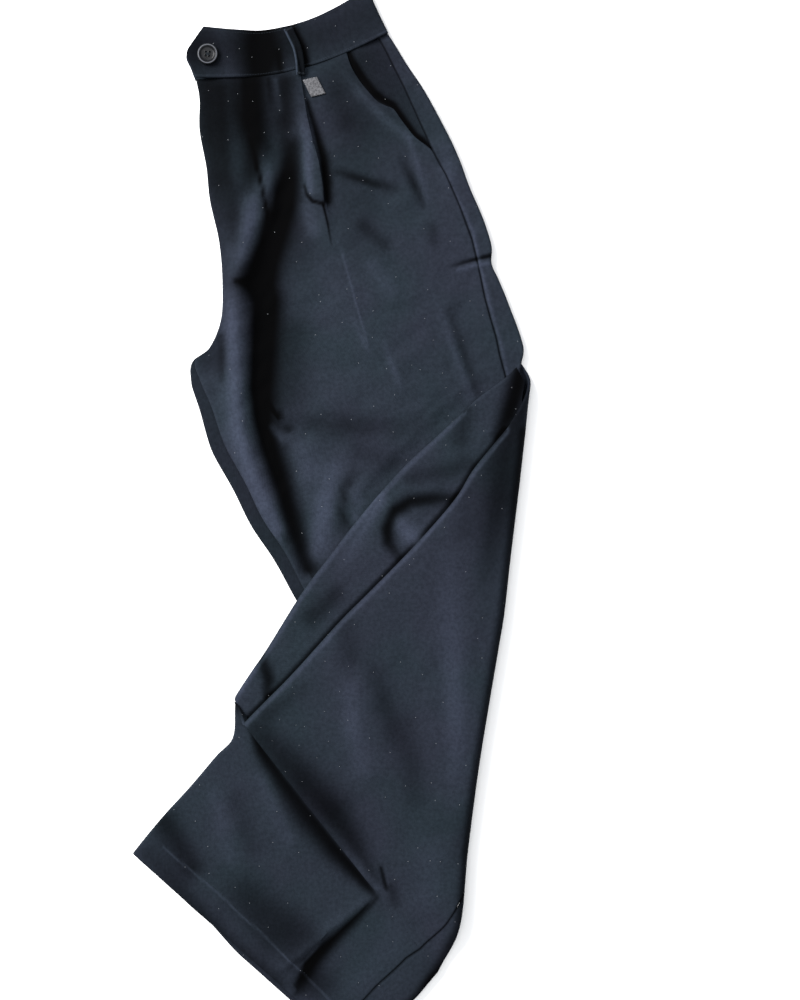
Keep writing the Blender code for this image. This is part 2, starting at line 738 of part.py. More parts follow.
def right_calf_front(round_steps=6, flat_steps=FLAT_STEPS, turns=3):
    """The right leg's front panel: it comes from under the thighs, turns over the fold, and
    runs to the hem with a wedge-shaped tuck on the way."""
    outer, inner = [], []
    for x, y, end, edge, lip in FOLD_CORNER:
        inward = np.array(CORNER_INWARD)
        corner = (0, np.array((x, y), float), inward, 200.0, False, 0, 0.05, CORNER_RADIUS,
                  2 * CORNER_RADIUS)
        last = end - edge
        turn = last * 0.92
        lengths = list(np.linspace(0, turn, round_steps + 1))
        lengths += list(np.linspace(turn, last, flat_steps + 1)[1:])
        angle = last / CORNER_RADIUS - math.pi / 2
        along = (*(-inward * -math.sin(angle)), math.cos(angle))
        out = (*(-inward * math.cos(angle)), math.sin(angle))
        rolled = turned_edge(calf_point(corner, last)[0], along, out, edge, lip, turns)
        outer.append([calf_point(corner, s)[0] for s in lengths] + rolled[0])
        inner.append([calf_point(corner, s)[1] for s in lengths] + rolled[1])
    for section in calf_rows():
        _, _, inward, length, _, start, _, radius, _ = section
        half = math.pi * radius
        end = half + length - EDGE_RADIUS - radius
        turn = max(half, start + 8)
        first = start + (GAP / 2 if start > 0 else 0)
        lengths = list(np.linspace(first, turn, round_steps + 1))
        lengths += list(np.linspace(turn, end, flat_steps + 1)[1:])
        rolled = turned_edge(calf_point(section, end)[0], (*inward, 0), (0, 0, 1), EDGE_RADIUS,
                             EDGE_LIP, turns)
        outer.append([calf_point(section, s)[0] for s in lengths] + rolled[0])
        inner.append([calf_point(section, s)[1] for s in lengths] + rolled[1])
    return wall("right_calf_front", outer, inner)


def right_calf_back(steps=6):
    """The strip of the right leg's back panel that shows past the inseam, turned under."""
    outer, inner = [], []
    for section in calf_rows():
        start = section[5]
        if start < 7:
            continue
        lengths = np.linspace(0, start - GAP / 2, steps + 3)
        outer.append([calf_point(section, s)[0] for s in lengths])
        inner.append([calf_point(section, s)[1] for s in lengths])
    return wall("right_calf_back", outer, inner)


def inner_calf():
    """The hidden layers of the turned-back legs, one solid that rests on the thighs and, past
    them, on the surface, with the left leg's layers parted from the right's at the edges."""
    band = smooth(KNEE_BAND, 41)
    run = band[:, 2:4] - band[:, :2]
    run /= np.linalg.norm(run, axis=1)[:, None]
    lip_line = band[:, :2] + run * (BAND_LIP + CALF_TUBE / 2 + 0.9)
    hidden_line = band[:, 2:4] + run * 0.8
    rings = []
    for section in calf_rows():
        place, fold, inward, length, past, _, lift, radius, _ = section
        on_floor = past_fold(fold)
        start = FOLD_CLEARANCE * (1 - on_floor) + (radius + 3) * on_floor
        low_start = FOLD_CLEARANCE * (1 - on_floor) + 1.0 * on_floor
        if length < 60:
            continue

        def at(e, z):
            return (*(fold + inward * e), float(z))

        def rest(e):
            x, y = fold + inward * e
            return float(rest_height(x, y)) + 0.25 * min(1.0, float(thigh_ramp(x, y)) * 8)

        def over(e):
            x, y = fold + inward * e
            return calf_point(section, math.pi * radius + e - radius)[0][2] - CLOTH - 0.5

        ahead = fold + inward * (length + 60)
        low_end = length - 1.5 if past else crossing(fold, ahead, lip_line)
        hidden = crossing(fold, ahead, hidden_line)
        top_end = length - EDGE_RADIUS - EDGE_LIP - 0.6
        notch = top_end - 0.6 if past else min(hidden, top_end - 0.6)
        notch = max(notch, start + 4)
        slab = CALF_TUBE - CLOTH - 0.8
        ceiling = slab + 0.2 if past else CALF_TUBE + 0.7
        lows = np.linspace(low_start + 3.0, low_end, 9)
        ring = [at(e, rest(e)) for e in lows]
        ring += [at(low_end + 0.4, rest(low_end) + slab / 2), at(low_end, rest(low_end) + slab)]
        ring += [at(e, rest(e) + slab) for e in np.linspace(low_end, notch, 4)[1:]]
        ring += [at(notch, rest(notch) + ceiling)]
        ring += [at(e, rest(e) + ceiling) for e in np.linspace(notch, top_end, 4)[1:]]
        half = math.pi * radius
        turn = max(half, section[5] + 8)
        last = half + length - EDGE_RADIUS - radius
        shared = np.linspace(turn, last, FLAT_STEPS + 1)[1:-1] - half + radius
        tops = [top_end, *shared[::-1], *np.linspace(shared[0], start, 4)[1:]]
        ring += [at(e, max(over(e), rest(e) + ceiling + 0.2)) for e in tops]
        low, high = rest(low_start + 3.0), over(start)
        middle = max((low + high) / 2, lift)
        low_top = (low + middle) / 2 * (1 - on_floor) + (lift - 0.6) * on_floor
        ring += [at(start - 0.6, (high + middle) / 2), at(start + 1.0, middle + 0.2),
                 at(start + 1.0, middle - 0.2), at(low_start, max(low_top, low + 0.7)),
                 at(low_start + 0.6, low + 0.5)]
        rings.append(ring)
    return stack("inner_calf", rings)


def left_hem():
    """The left leg's hem, under the right leg's and a little longer, its two layers parted."""
    rings = []
    hem = np.array(CALF_SECTIONS[-1], float)
    start, end = hem[:2], hem[2:4]
    length = np.linalg.norm(end - start)
    run = (end - start) / length
    out = np.array([run[1], -run[0]])
    for share in np.linspace(0.3, 0.985, 9):
        reach = 2.0 + (LEFT_HEM_PAST - 2.0) * step((share - 0.3) / 0.2)
        foot = start + run * length * share
        cut = reach - min(3.5, reach - 1.0)
        ring = []
        for past, z in ((0.3, 0.0), (reach - 0.4, 0.0), (reach, 0.9), (reach - 0.3, 1.7),
                        (cut, 1.9), (reach - 0.6, 2.1), (reach - 0.2, 2.8),
                        (reach - 0.8, 3.6), (0.3, 3.6)):
            x, y = foot + out * past
            ring.append((x, y, z))
        rings.append(ring)
    return stack("left_hem", rings)


def belt_loop():
    outer, inner = [], []
    half = LOOP_WIDE / 2
    line = smooth(LOOP_LINE, 9)
    run = np.gradient(line, axis=0)
    run /= np.linalg.norm(run, axis=1)[:, None]
    for (x, y), (rx, ry), t in zip(line, run, np.linspace(0, 1, 9)):
        clear = LOOP_THICK + 0.5 + 1.6 * math.sin(math.pi * t)
        row_out, row_in = [], []
        for w in np.linspace(-half, half, 4):
            px, py = x - ry * w, y + rx * w
            near = [(px, py), (px - 3, py), (px + 3, py), (px, py - 3)]
            base = max(float(waist_height(px, py)), max(float(thigh_height(*at)) for at in near))
            row_out.append((px, py, base + clear))
            row_in.append((px, py, base + clear - LOOP_THICK))
        outer.append(row_out)
        inner.append(row_in)
    return wall("belt_loop", outer, inner)


def side_tab():
    """The plain woven tab that hangs from the belt loop's foot."""
    a, b, c, d = (np.array(p) for p in TAB_CORNERS)
    outer, inner = [], []
    for t in np.linspace(0, 1, 4):
        row_out, row_in = [], []
        for s in np.linspace(0, 1, 4):
            x, y = (a * (1 - s) + b * s) * (1 - t) + (d * (1 - s) + c * s) * t
            z = float(thigh_height(x, y)) + GAP + 0.15 + TAB_THICK
            row_out.append((x, y, z))
            row_in.append((x, y, z - TAB_THICK))
        outer.append(row_out)
        inner.append(row_in)
    return wall("side_tab", outer, inner, "tab")


def button():
    """A four-hole button with a raised rim, turned from its profile."""
    radius = BUTTON_ACROSS / 2
    profile = ((0.0, 0.0), (5.4, 0.0), (8.0, 0.7), (9.0, 1.7), (8.8, 2.8), (8.0, 3.4), (6.9, 3.3),
               (6.0, 2.4), (3.5, 2.0), (0.0, 2.0))
    scale = radius / 9.0
    x0, y0 = BUTTON_AT
    z0 = float(waist_height(x0, y0)) + GAP + 0.15
    shape = bmesh.new()
    turned = [shape.verts.new((r * scale * MM, 0, z * BUTTON_THICK / 3.4 * MM)) for r, z in profile]
    edges = [shape.edges.new(pair) for pair in zip(turned, turned[1:])]
    bmesh.ops.spin(shape, geom=turned + edges, cent=(0, 0, 0), axis=(0, 0, 1),
                   angle=2 * math.pi, steps=28, use_merge=True)
    bmesh.ops.remove_doubles(shape, verts=shape.verts, dist=1e-6)
    bmesh.ops.recalc_face_normals(shape, faces=shape.faces)
    mesh = bpy.data.meshes.new("button")
    shape.to_mesh(mesh)
    shape.free()
    made = bpy.data.objects.new("button", mesh)
    made.location = (x0 * MM, y0 * MM, z0 * MM)
    made.data.materials.append(material("button"))
    bpy.context.scene.collection.objects.link(made)
    for k in range(4):
        angle = math.radians(38 + 90 * k)
        bpy.ops.mesh.primitive_cylinder_add(
            vertices=10, radius=0.95 * MM, depth=8 * MM,
            location=((x0 + 2.1 * math.cos(angle)) * MM, (y0 + 2.1 * math.sin(angle)) * MM, z0 * MM))
        cutter = bpy.context.object
        cutter.name = f"hole_{k}"
        cutter.hide_render = True
        cutter.display_type = "WIRE"
        cut = made.modifiers.new(f"hole_{k}", "BOOLEAN")
        cut.object = cutter
    return made


def centre_on_plan():
    """Moves everything so that the origin is under the middle of the laid garment."""
    low, high = np.full(3, np.inf), np.full(3, -np.inf)
    shown = [o for o in bpy.data.objects if o.type == "MESH" and not o.hide_render]
    bpy.context.view_layer.update()
    for made in shown:
        for v in made.data.vertices:
            place = np.array(made.matrix_world @ v.co)
            low, high = np.minimum(low, place), np.maximum(high, place)
    shift = (-(low[0] + high[0]) / 2, -(low[1] + high[1]) / 2, -low[2])
    for made in bpy.data.objects:
        for k in range(3):
            made.location[k] += shift[k]
    print("plan shift, mm", [round(s / MM, 3) for s in shift])


def main():
    for old in list(bpy.data.objects):
        bpy.data.objects.remove(old)
    inner_thigh()
    left_front()
    left_back()
    pocket_facing()
    waistband_right()
    waistband_back()
    waistband_left()
    knee_band()
    inner_calf()
    right_calf_front()
    right_calf_back()
    left_hem()
    belt_loop()
    side_tab()
    button()
    centre_on_plan()


main()
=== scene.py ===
"""Pleated wide-leg trousers, folded down the middle, laid flat with both legs turned back.

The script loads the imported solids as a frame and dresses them: every piece of cloth is a thin
wall worked out on the solid that it replaces. Tables are millimetres on the laid garment, from
the middle of its plan, with the waist at +Y and the fly at -X.
"""

import math

import bmesh
import bpy
import numpy as np
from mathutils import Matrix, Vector


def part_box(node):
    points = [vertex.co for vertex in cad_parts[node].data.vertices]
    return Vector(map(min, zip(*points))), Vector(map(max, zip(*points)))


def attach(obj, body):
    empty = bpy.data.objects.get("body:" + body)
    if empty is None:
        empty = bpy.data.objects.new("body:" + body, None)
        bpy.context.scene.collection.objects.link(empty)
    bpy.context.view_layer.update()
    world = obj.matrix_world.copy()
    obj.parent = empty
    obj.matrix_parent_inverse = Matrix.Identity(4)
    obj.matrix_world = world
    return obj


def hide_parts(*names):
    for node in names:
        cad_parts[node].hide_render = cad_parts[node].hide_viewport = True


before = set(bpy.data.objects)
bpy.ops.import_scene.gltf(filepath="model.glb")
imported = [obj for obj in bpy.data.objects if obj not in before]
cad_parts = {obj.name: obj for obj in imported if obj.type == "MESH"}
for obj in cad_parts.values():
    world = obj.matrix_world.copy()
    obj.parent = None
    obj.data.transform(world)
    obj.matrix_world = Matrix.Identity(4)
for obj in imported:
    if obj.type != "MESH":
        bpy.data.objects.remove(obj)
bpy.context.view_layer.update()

bl_info = {
    "name": "Laid trousers",
    "version": (1, 0, 0),
    "blender": (4, 5, 0),
    "location": "View3D > Sidebar > Trousers",
    "description": "Dresses the solids of a pair of folded trousers with cloth, button and stitching",
    "category": "Object",
}

MM = 0.001

# Metres
FLOOR_HALF = 4
FLOOR_Z = -0.0002
CAMERA_AT = (0.05946, 0.02045)

# Heights of the layers in the solids, in millimetres
LEG_TUBE = 4.4
THIGH_STACK = 9.2
THIGH_FLOOR = 6.7
WAIST_STACK = 10.6
CALF_TUBE = 5.2
CALF_STACK = 10.6
HEM_STACK = 8.8
TUCK_STEP = 5.2
BAND_WALL = 2.2
GAP = 0.3
SECTION_STEP = 17
WAIST_SINK = 1.7
SINK_REACH = 2.6
POCKET_DEPTH = 1.5

# Radii, lengths, places and directions on the plan, in millimetres
FOLD_CLEARANCE = 13.0
CORNER_INWARD = (-0.992, -0.122)
CORNER_RADIUS = 10.5
EDGE_RADIUS = 2.4
EDGE_LIP = 3.0
TAPE_PITCH = 1.15
FORM_BLEND = 15
CREASE_BLEND = 12
LEAF_DEPTH = 2.3
LEAST_SPACING = 0.02
SHARP_ANGLE = math.radians(55)
BAND_LIP = 4.0
LOOP_HALF = 3.9
BUTTON_HOLES = 2.1
PROFILE_RADIUS = 9.0
INSEAM_POINT = (-25.0, -58.0)
INSEAM_OUT = (-0.898, -0.441)
INSEAM_LONG = 308.0
RAMP_START = 90.0
RAMP_END = 38.0
INSEAM_CLIMB = (7.5, 1.6)
HEM_PAST = 6.5
BUTTON_AT = (-107.0, 405.0)
BUTTON_TURN = math.radians(38)
STITCH_GROOVE = 0.5
GROOVE_REACH = 0.8
SHADE_REACH = 0.9

# Counts of rows and columns
THIGH_ROWS = 244
BAND_ROWS = 64
END_TURNS = 7
BUTTON_STEPS = 144

# Least and greatest painted shading of the cloth: painted shade below 0, painted highlight above 0
PAINTED_SHADING_RANGE = (-0.96, 0.6)

THIGH_SECTIONS = (
    # inner_x, inner_y, hip_x, hip_y, sag
    (-118, 384.4, 49.5, 424.0, -13),
    (-115, 367, 66, 397, -11),
    (-115, 341, 80, 376, -9),
    (-109, 308, 96, 347, -6),
    (-106, 280, 110, 318, -3),
    (-98, 244, 120, 291, 0),
    (-95, 210, 132, 263, 0),
    (-96, 177, 139, 240, 0),
    (-106, 152, 139, 225, 0),
    (-119, 140, 145, 211, 0),
    (-114, 122, 151, 197, 0),
    (-105, 101, 156, 184, 0),
    (-93, 67, 161, 171, 0),
    (-75, 34, 165, 159, 0),
    (-60, 3, 167, 149, 0),
    (-41, -26, 165, 138, 0),
    (-25, -57, 163, 128, 0),
    (-13, -78, 161, 112, 0),
)
COVERED_SECTIONS = (
    # the same sections under the turned-back legs
    (5, -120, 156, 62, 0),
    (36, -181, 148, -46, 0),
    (66, -242, 132, -140, 0),
    (97, -305, 114, -250, 0),
)
UNDER_EDGE = (
    # section, right leg reaches past the left leg by
    (0, 0),
    (4, 0),
    (8, 1),
    (9, 3),
    (10, 9),
    (12, 13),
    (15, 12),
    (21, 8),
)
SIDE_SEAM = ((40, 423), (63, 377), (88, 322), (99, 302), (111, 275), (122, 245), (129, 215),
             (133, 195), (138, 177), (143, 160), (146, 145), (151, 127), (154, 108))
POCKET_MOUTH = ((13, 409), (17, 400), (26, 386), (37, 372), (45, 366), (53, 362), (60, 352),
                (72, 336), (82, 328), (88, 322))
OUTER_PLEAT = ((-28, 392), (-26, 376), (-22, 350), (-17, 328), (-12, 311), (-8, 289),
               (-7, 275), (-1, 242), (8, 229), (18, 200), (28, 164), (39, 128), (60, 66))
PLEAT_DEPTH = (0.3, 0.6, 0.9, 1.0, 1.0, 0.95, 0.6, 0.05, 0, 0, 0, 0, 0)
VALLEY = ((-52, 385), (-46, 350), (-37, 318), (-40, 274), (-49, 231), (-59, 191), (-62, 157),
          (-62, 110), (-56, 71), (-45, 28), (-35, -7), (-21, -40), (-8, -66))
THIGH_FOLDS = (
    # name, then x, y, reach towards -X, reach towards +X, height
    ("pocket", ((20, 408, 30, 25, 1.2), (50, 376, 30, 25, 1.3), (82, 338, 25, 20, 1.2),
                (95, 310, 20, 18, 0.0))),
    ("fullness", ((-20, 370, 60, 60, 2.0), (20, 300, 70, 60, 5.0), (50, 200, 75, 60, 7.0),
                  (60, 120, 75, 60, 6.5), (50, 60, 60, 60, 4.0))),
    ("fly_ridge", ((-95, 376, 10, 14, 1.5), (-91, 324, 12, 16, 4.5), (-82, 280, 13, 16, 7.0),
                   (-76, 245, 14, 14, 7.5), (-82, 202, 12, 12, 6.5), (-82, 158, 12, 11, 6.5),
                   (-82, 106, 12, 12, 7.5), (-72, 54, 12, 11, 6.5), (-55, 10, 11, 11, 5.0),
                   (-36, -36, 10, 10, 2.0))),
    ("inner_pleat", ((-66, 388, 14, 10, 1.0), (-66, 340, 12, 10, 2.0), (-58, 291, 10, 10, 3.0),
                     (-55, 262, 8, 8, 1.0))),
    ("outer_pleat", ((-28, 393, 14, 1.0, 2.0), (-22, 350, 16, 1.0, 4.5), (-12, 311, 17, 1.0, 5.0),
                     (-8, 285, 16, 1.2, 4.6), (-4, 255, 14, 6.0, 2.0), (4, 235, 12, 10, 0.0))),
    ("low_crossing", ((-52, 96, 16, 16, 2.0), (-10, 88, 20, 16, 3.5), (40, 60, 20, 16, 3.0))),
)
CALF_SECTIONS = (
    # outseam_x, outseam_y, fold_x, fold_y
    (150, 79, 168.2, 77),
    (123, 46, 163.8, 38),
    (106, 19, 160.3, 9),
    (72, -20, 155.0, -35),
    (34, -59, 150.2, -78),
    (8, -85, 145.5, -107),
    (-28, -125, 137.0, -157),
    (-43, -141, 127.5, -216),
    (-58, -156, 118.5, -285),
    (-69, -167, 111, -351),
    (-75.5, -174, 92.5, -391.5),
)
HEM_SECTIONS = (
    # the part below the tuck, which starts under the part above
    (-84.2, -156.5, 92.5, -391.5),
    (-86, -187, 83.5, -402),
    (-101, -204, 75, -412),
    (-123, -230, 61, -426),
    (-145, -254, 46, -442),
    (-161, -273, 34, -454),
    (-173, -288, 25, -464),
)
FOLD_CORNER = (
    # fold_x, fold_y, cloth length, edge radius, lip
    (169.5, 141, 3.5, 1.3, 0.3),
    (171.6, 132, 9.0, 1.3, 0.3),
    (172.8, 122, 16.0, 1.4, 0.5),
    (171.9, 112, 22.0, 1.5, 0.8),
    (170.6, 102, 28.0, 1.8, 1.3),
    (169.6, 92, 34.5, 2.2, 2.2),
)
KNEE_BAND = (
    # edge_x, edge_y, hidden_x, hidden_y
    (160, 134, 167, 121),
    (153, 127, 165, 108),
    (140, 117, 163, 92),
    (123, 104, 147, 60),
    (92, 75, 122, 19),
    (61, 46, 96, -14),
    (25, 5, 60, -52),
    (-2, -30, 27, -86),
    (-26, -62, 2, -112),
    (-55.5, -109, -25, -142),
    (-70.5, -131, -47, -159),
    (-83, -150, -60, -176),
    (-85, -155, -66, -184),
)
TUCK_ROW = 10
TUCK_LINE = ((-75, -174), (-51, -207), (-28, -252), (5, -279), (39, -322), (92, -391))
TUCK_OUT = (-0.79, -0.61)
CALF_INSEAM = ((8.3, 0), (9, 12), (10, 26), (11, 30), (13, 32), (16, 31))
CALF_FOLDS = (
    # name, then x, y, reach towards -X, reach towards +X, height
    ("fold_side", ((160, 60, 22, 12, -0.5), (145, -30, 26, 14, -1.5), (138, -110, 24, 12, -0.5))),
    ("knee_swell", ((120, 0, 22, 22, 1.5), (70, -40, 24, 24, 1.5), (20, -90, 20, 24, 1.5),
                    (-30, -135, 14, 20, 1.0))),
    ("shin_trough", ((60, -110, 16, 16, -1.2), (70, -180, 18, 18, -2.0), (85, -260, 14, 14, -0.5))),
    ("shin_swell", ((20, -110, 18, 18, 0.5), (28, -180, 20, 20, 1.6), (50, -250, 16, 16, 0.5))),
)
WAIST_END = (
    # end_x, end_y, side_x, side_y, sag
    (-111, 430, 31.6, 463.6, -16),
    (-119, 419, 35.8, 453.5, -15.5),
    (-126, 407, 40.2, 443.8, -15),
    (-122, 396, 44.8, 434.2, -14),
    (-118, 385.4, 49.4, 424.8, -13),
)
WAIST_FOLDS = (
    ("band_trough", ((-62, 428, 13, 14, -2.2), (-60, 388, 13, 14, -2.0))),
    ("band_end", ((-112, 425, 12, 14, 0.6), (-112, 390, 12, 14, 0.6))),
)
WAIST_CREASES = (
    # name, then x, y, reach towards -X, reach towards +X, height, painted shading (painted shade below
    # 0, painted highlight above 0)
    ("trough_shade", ((-62, 428, 15, 17, -0.3, -0.6), (-60, 404, 15, 17, -0.3, -0.7),
                      (-62, 388, 15, 17, -0.3, -0.7))),
    ("band_shade", ((-116, 410, 28, 28, 0, -0.6), (-60, 412, 28, 28, 0, -0.42),
                    (-15, 420, 24, 24, 0, -0.34), (35, 440, 30, 30, 0, -0.3))),
    ("middle_wrinkle", ((-46, 408, 3, 3, -0.4, -0.2), (-44, 392, 3, 3, -0.6, -0.35))),
    ("loop_shade", ((-35, 431, 2.5, 3.5, -0.2, -0.6), (-26, 411, 2.5, 4, -0.2, -0.8),
                    (-20, 388, 2.5, 4, -0.2, -0.8))),
    ("end_light", ((-96, 428, 8, 8, 0.3, 0.12), (-88, 392, 8, 8, 0.2, 0.1))),
)
LOOP_LINE = ((-38, 428.2), (-35, 422), (-30, 411), (-27.5, 400), (-26.8, 392), (-26.4, 386.5))
TAB_CORNERS = ((-25.0, 383.0), (-12.6, 385.6), (-5.0, 371.2), (-17.6, 368.2))
HEM_STITCHING = ((-144, -283), (-136, -290), (-101, -318), (-91, -327), (-78, -341), (-64, -352),
                 (-49, -367), (-38, -378), (-1, -414), (22, -436))
KNEE_LINE = [(row[0], row[1]) for row in KNEE_BAND]
CALF_LINE = [(row[0], row[1]) for row in CALF_SECTIONS]
FOLD_LINE = [(row[2], row[3]) for row in CALF_SECTIONS + HEM_SECTIONS[1:]]
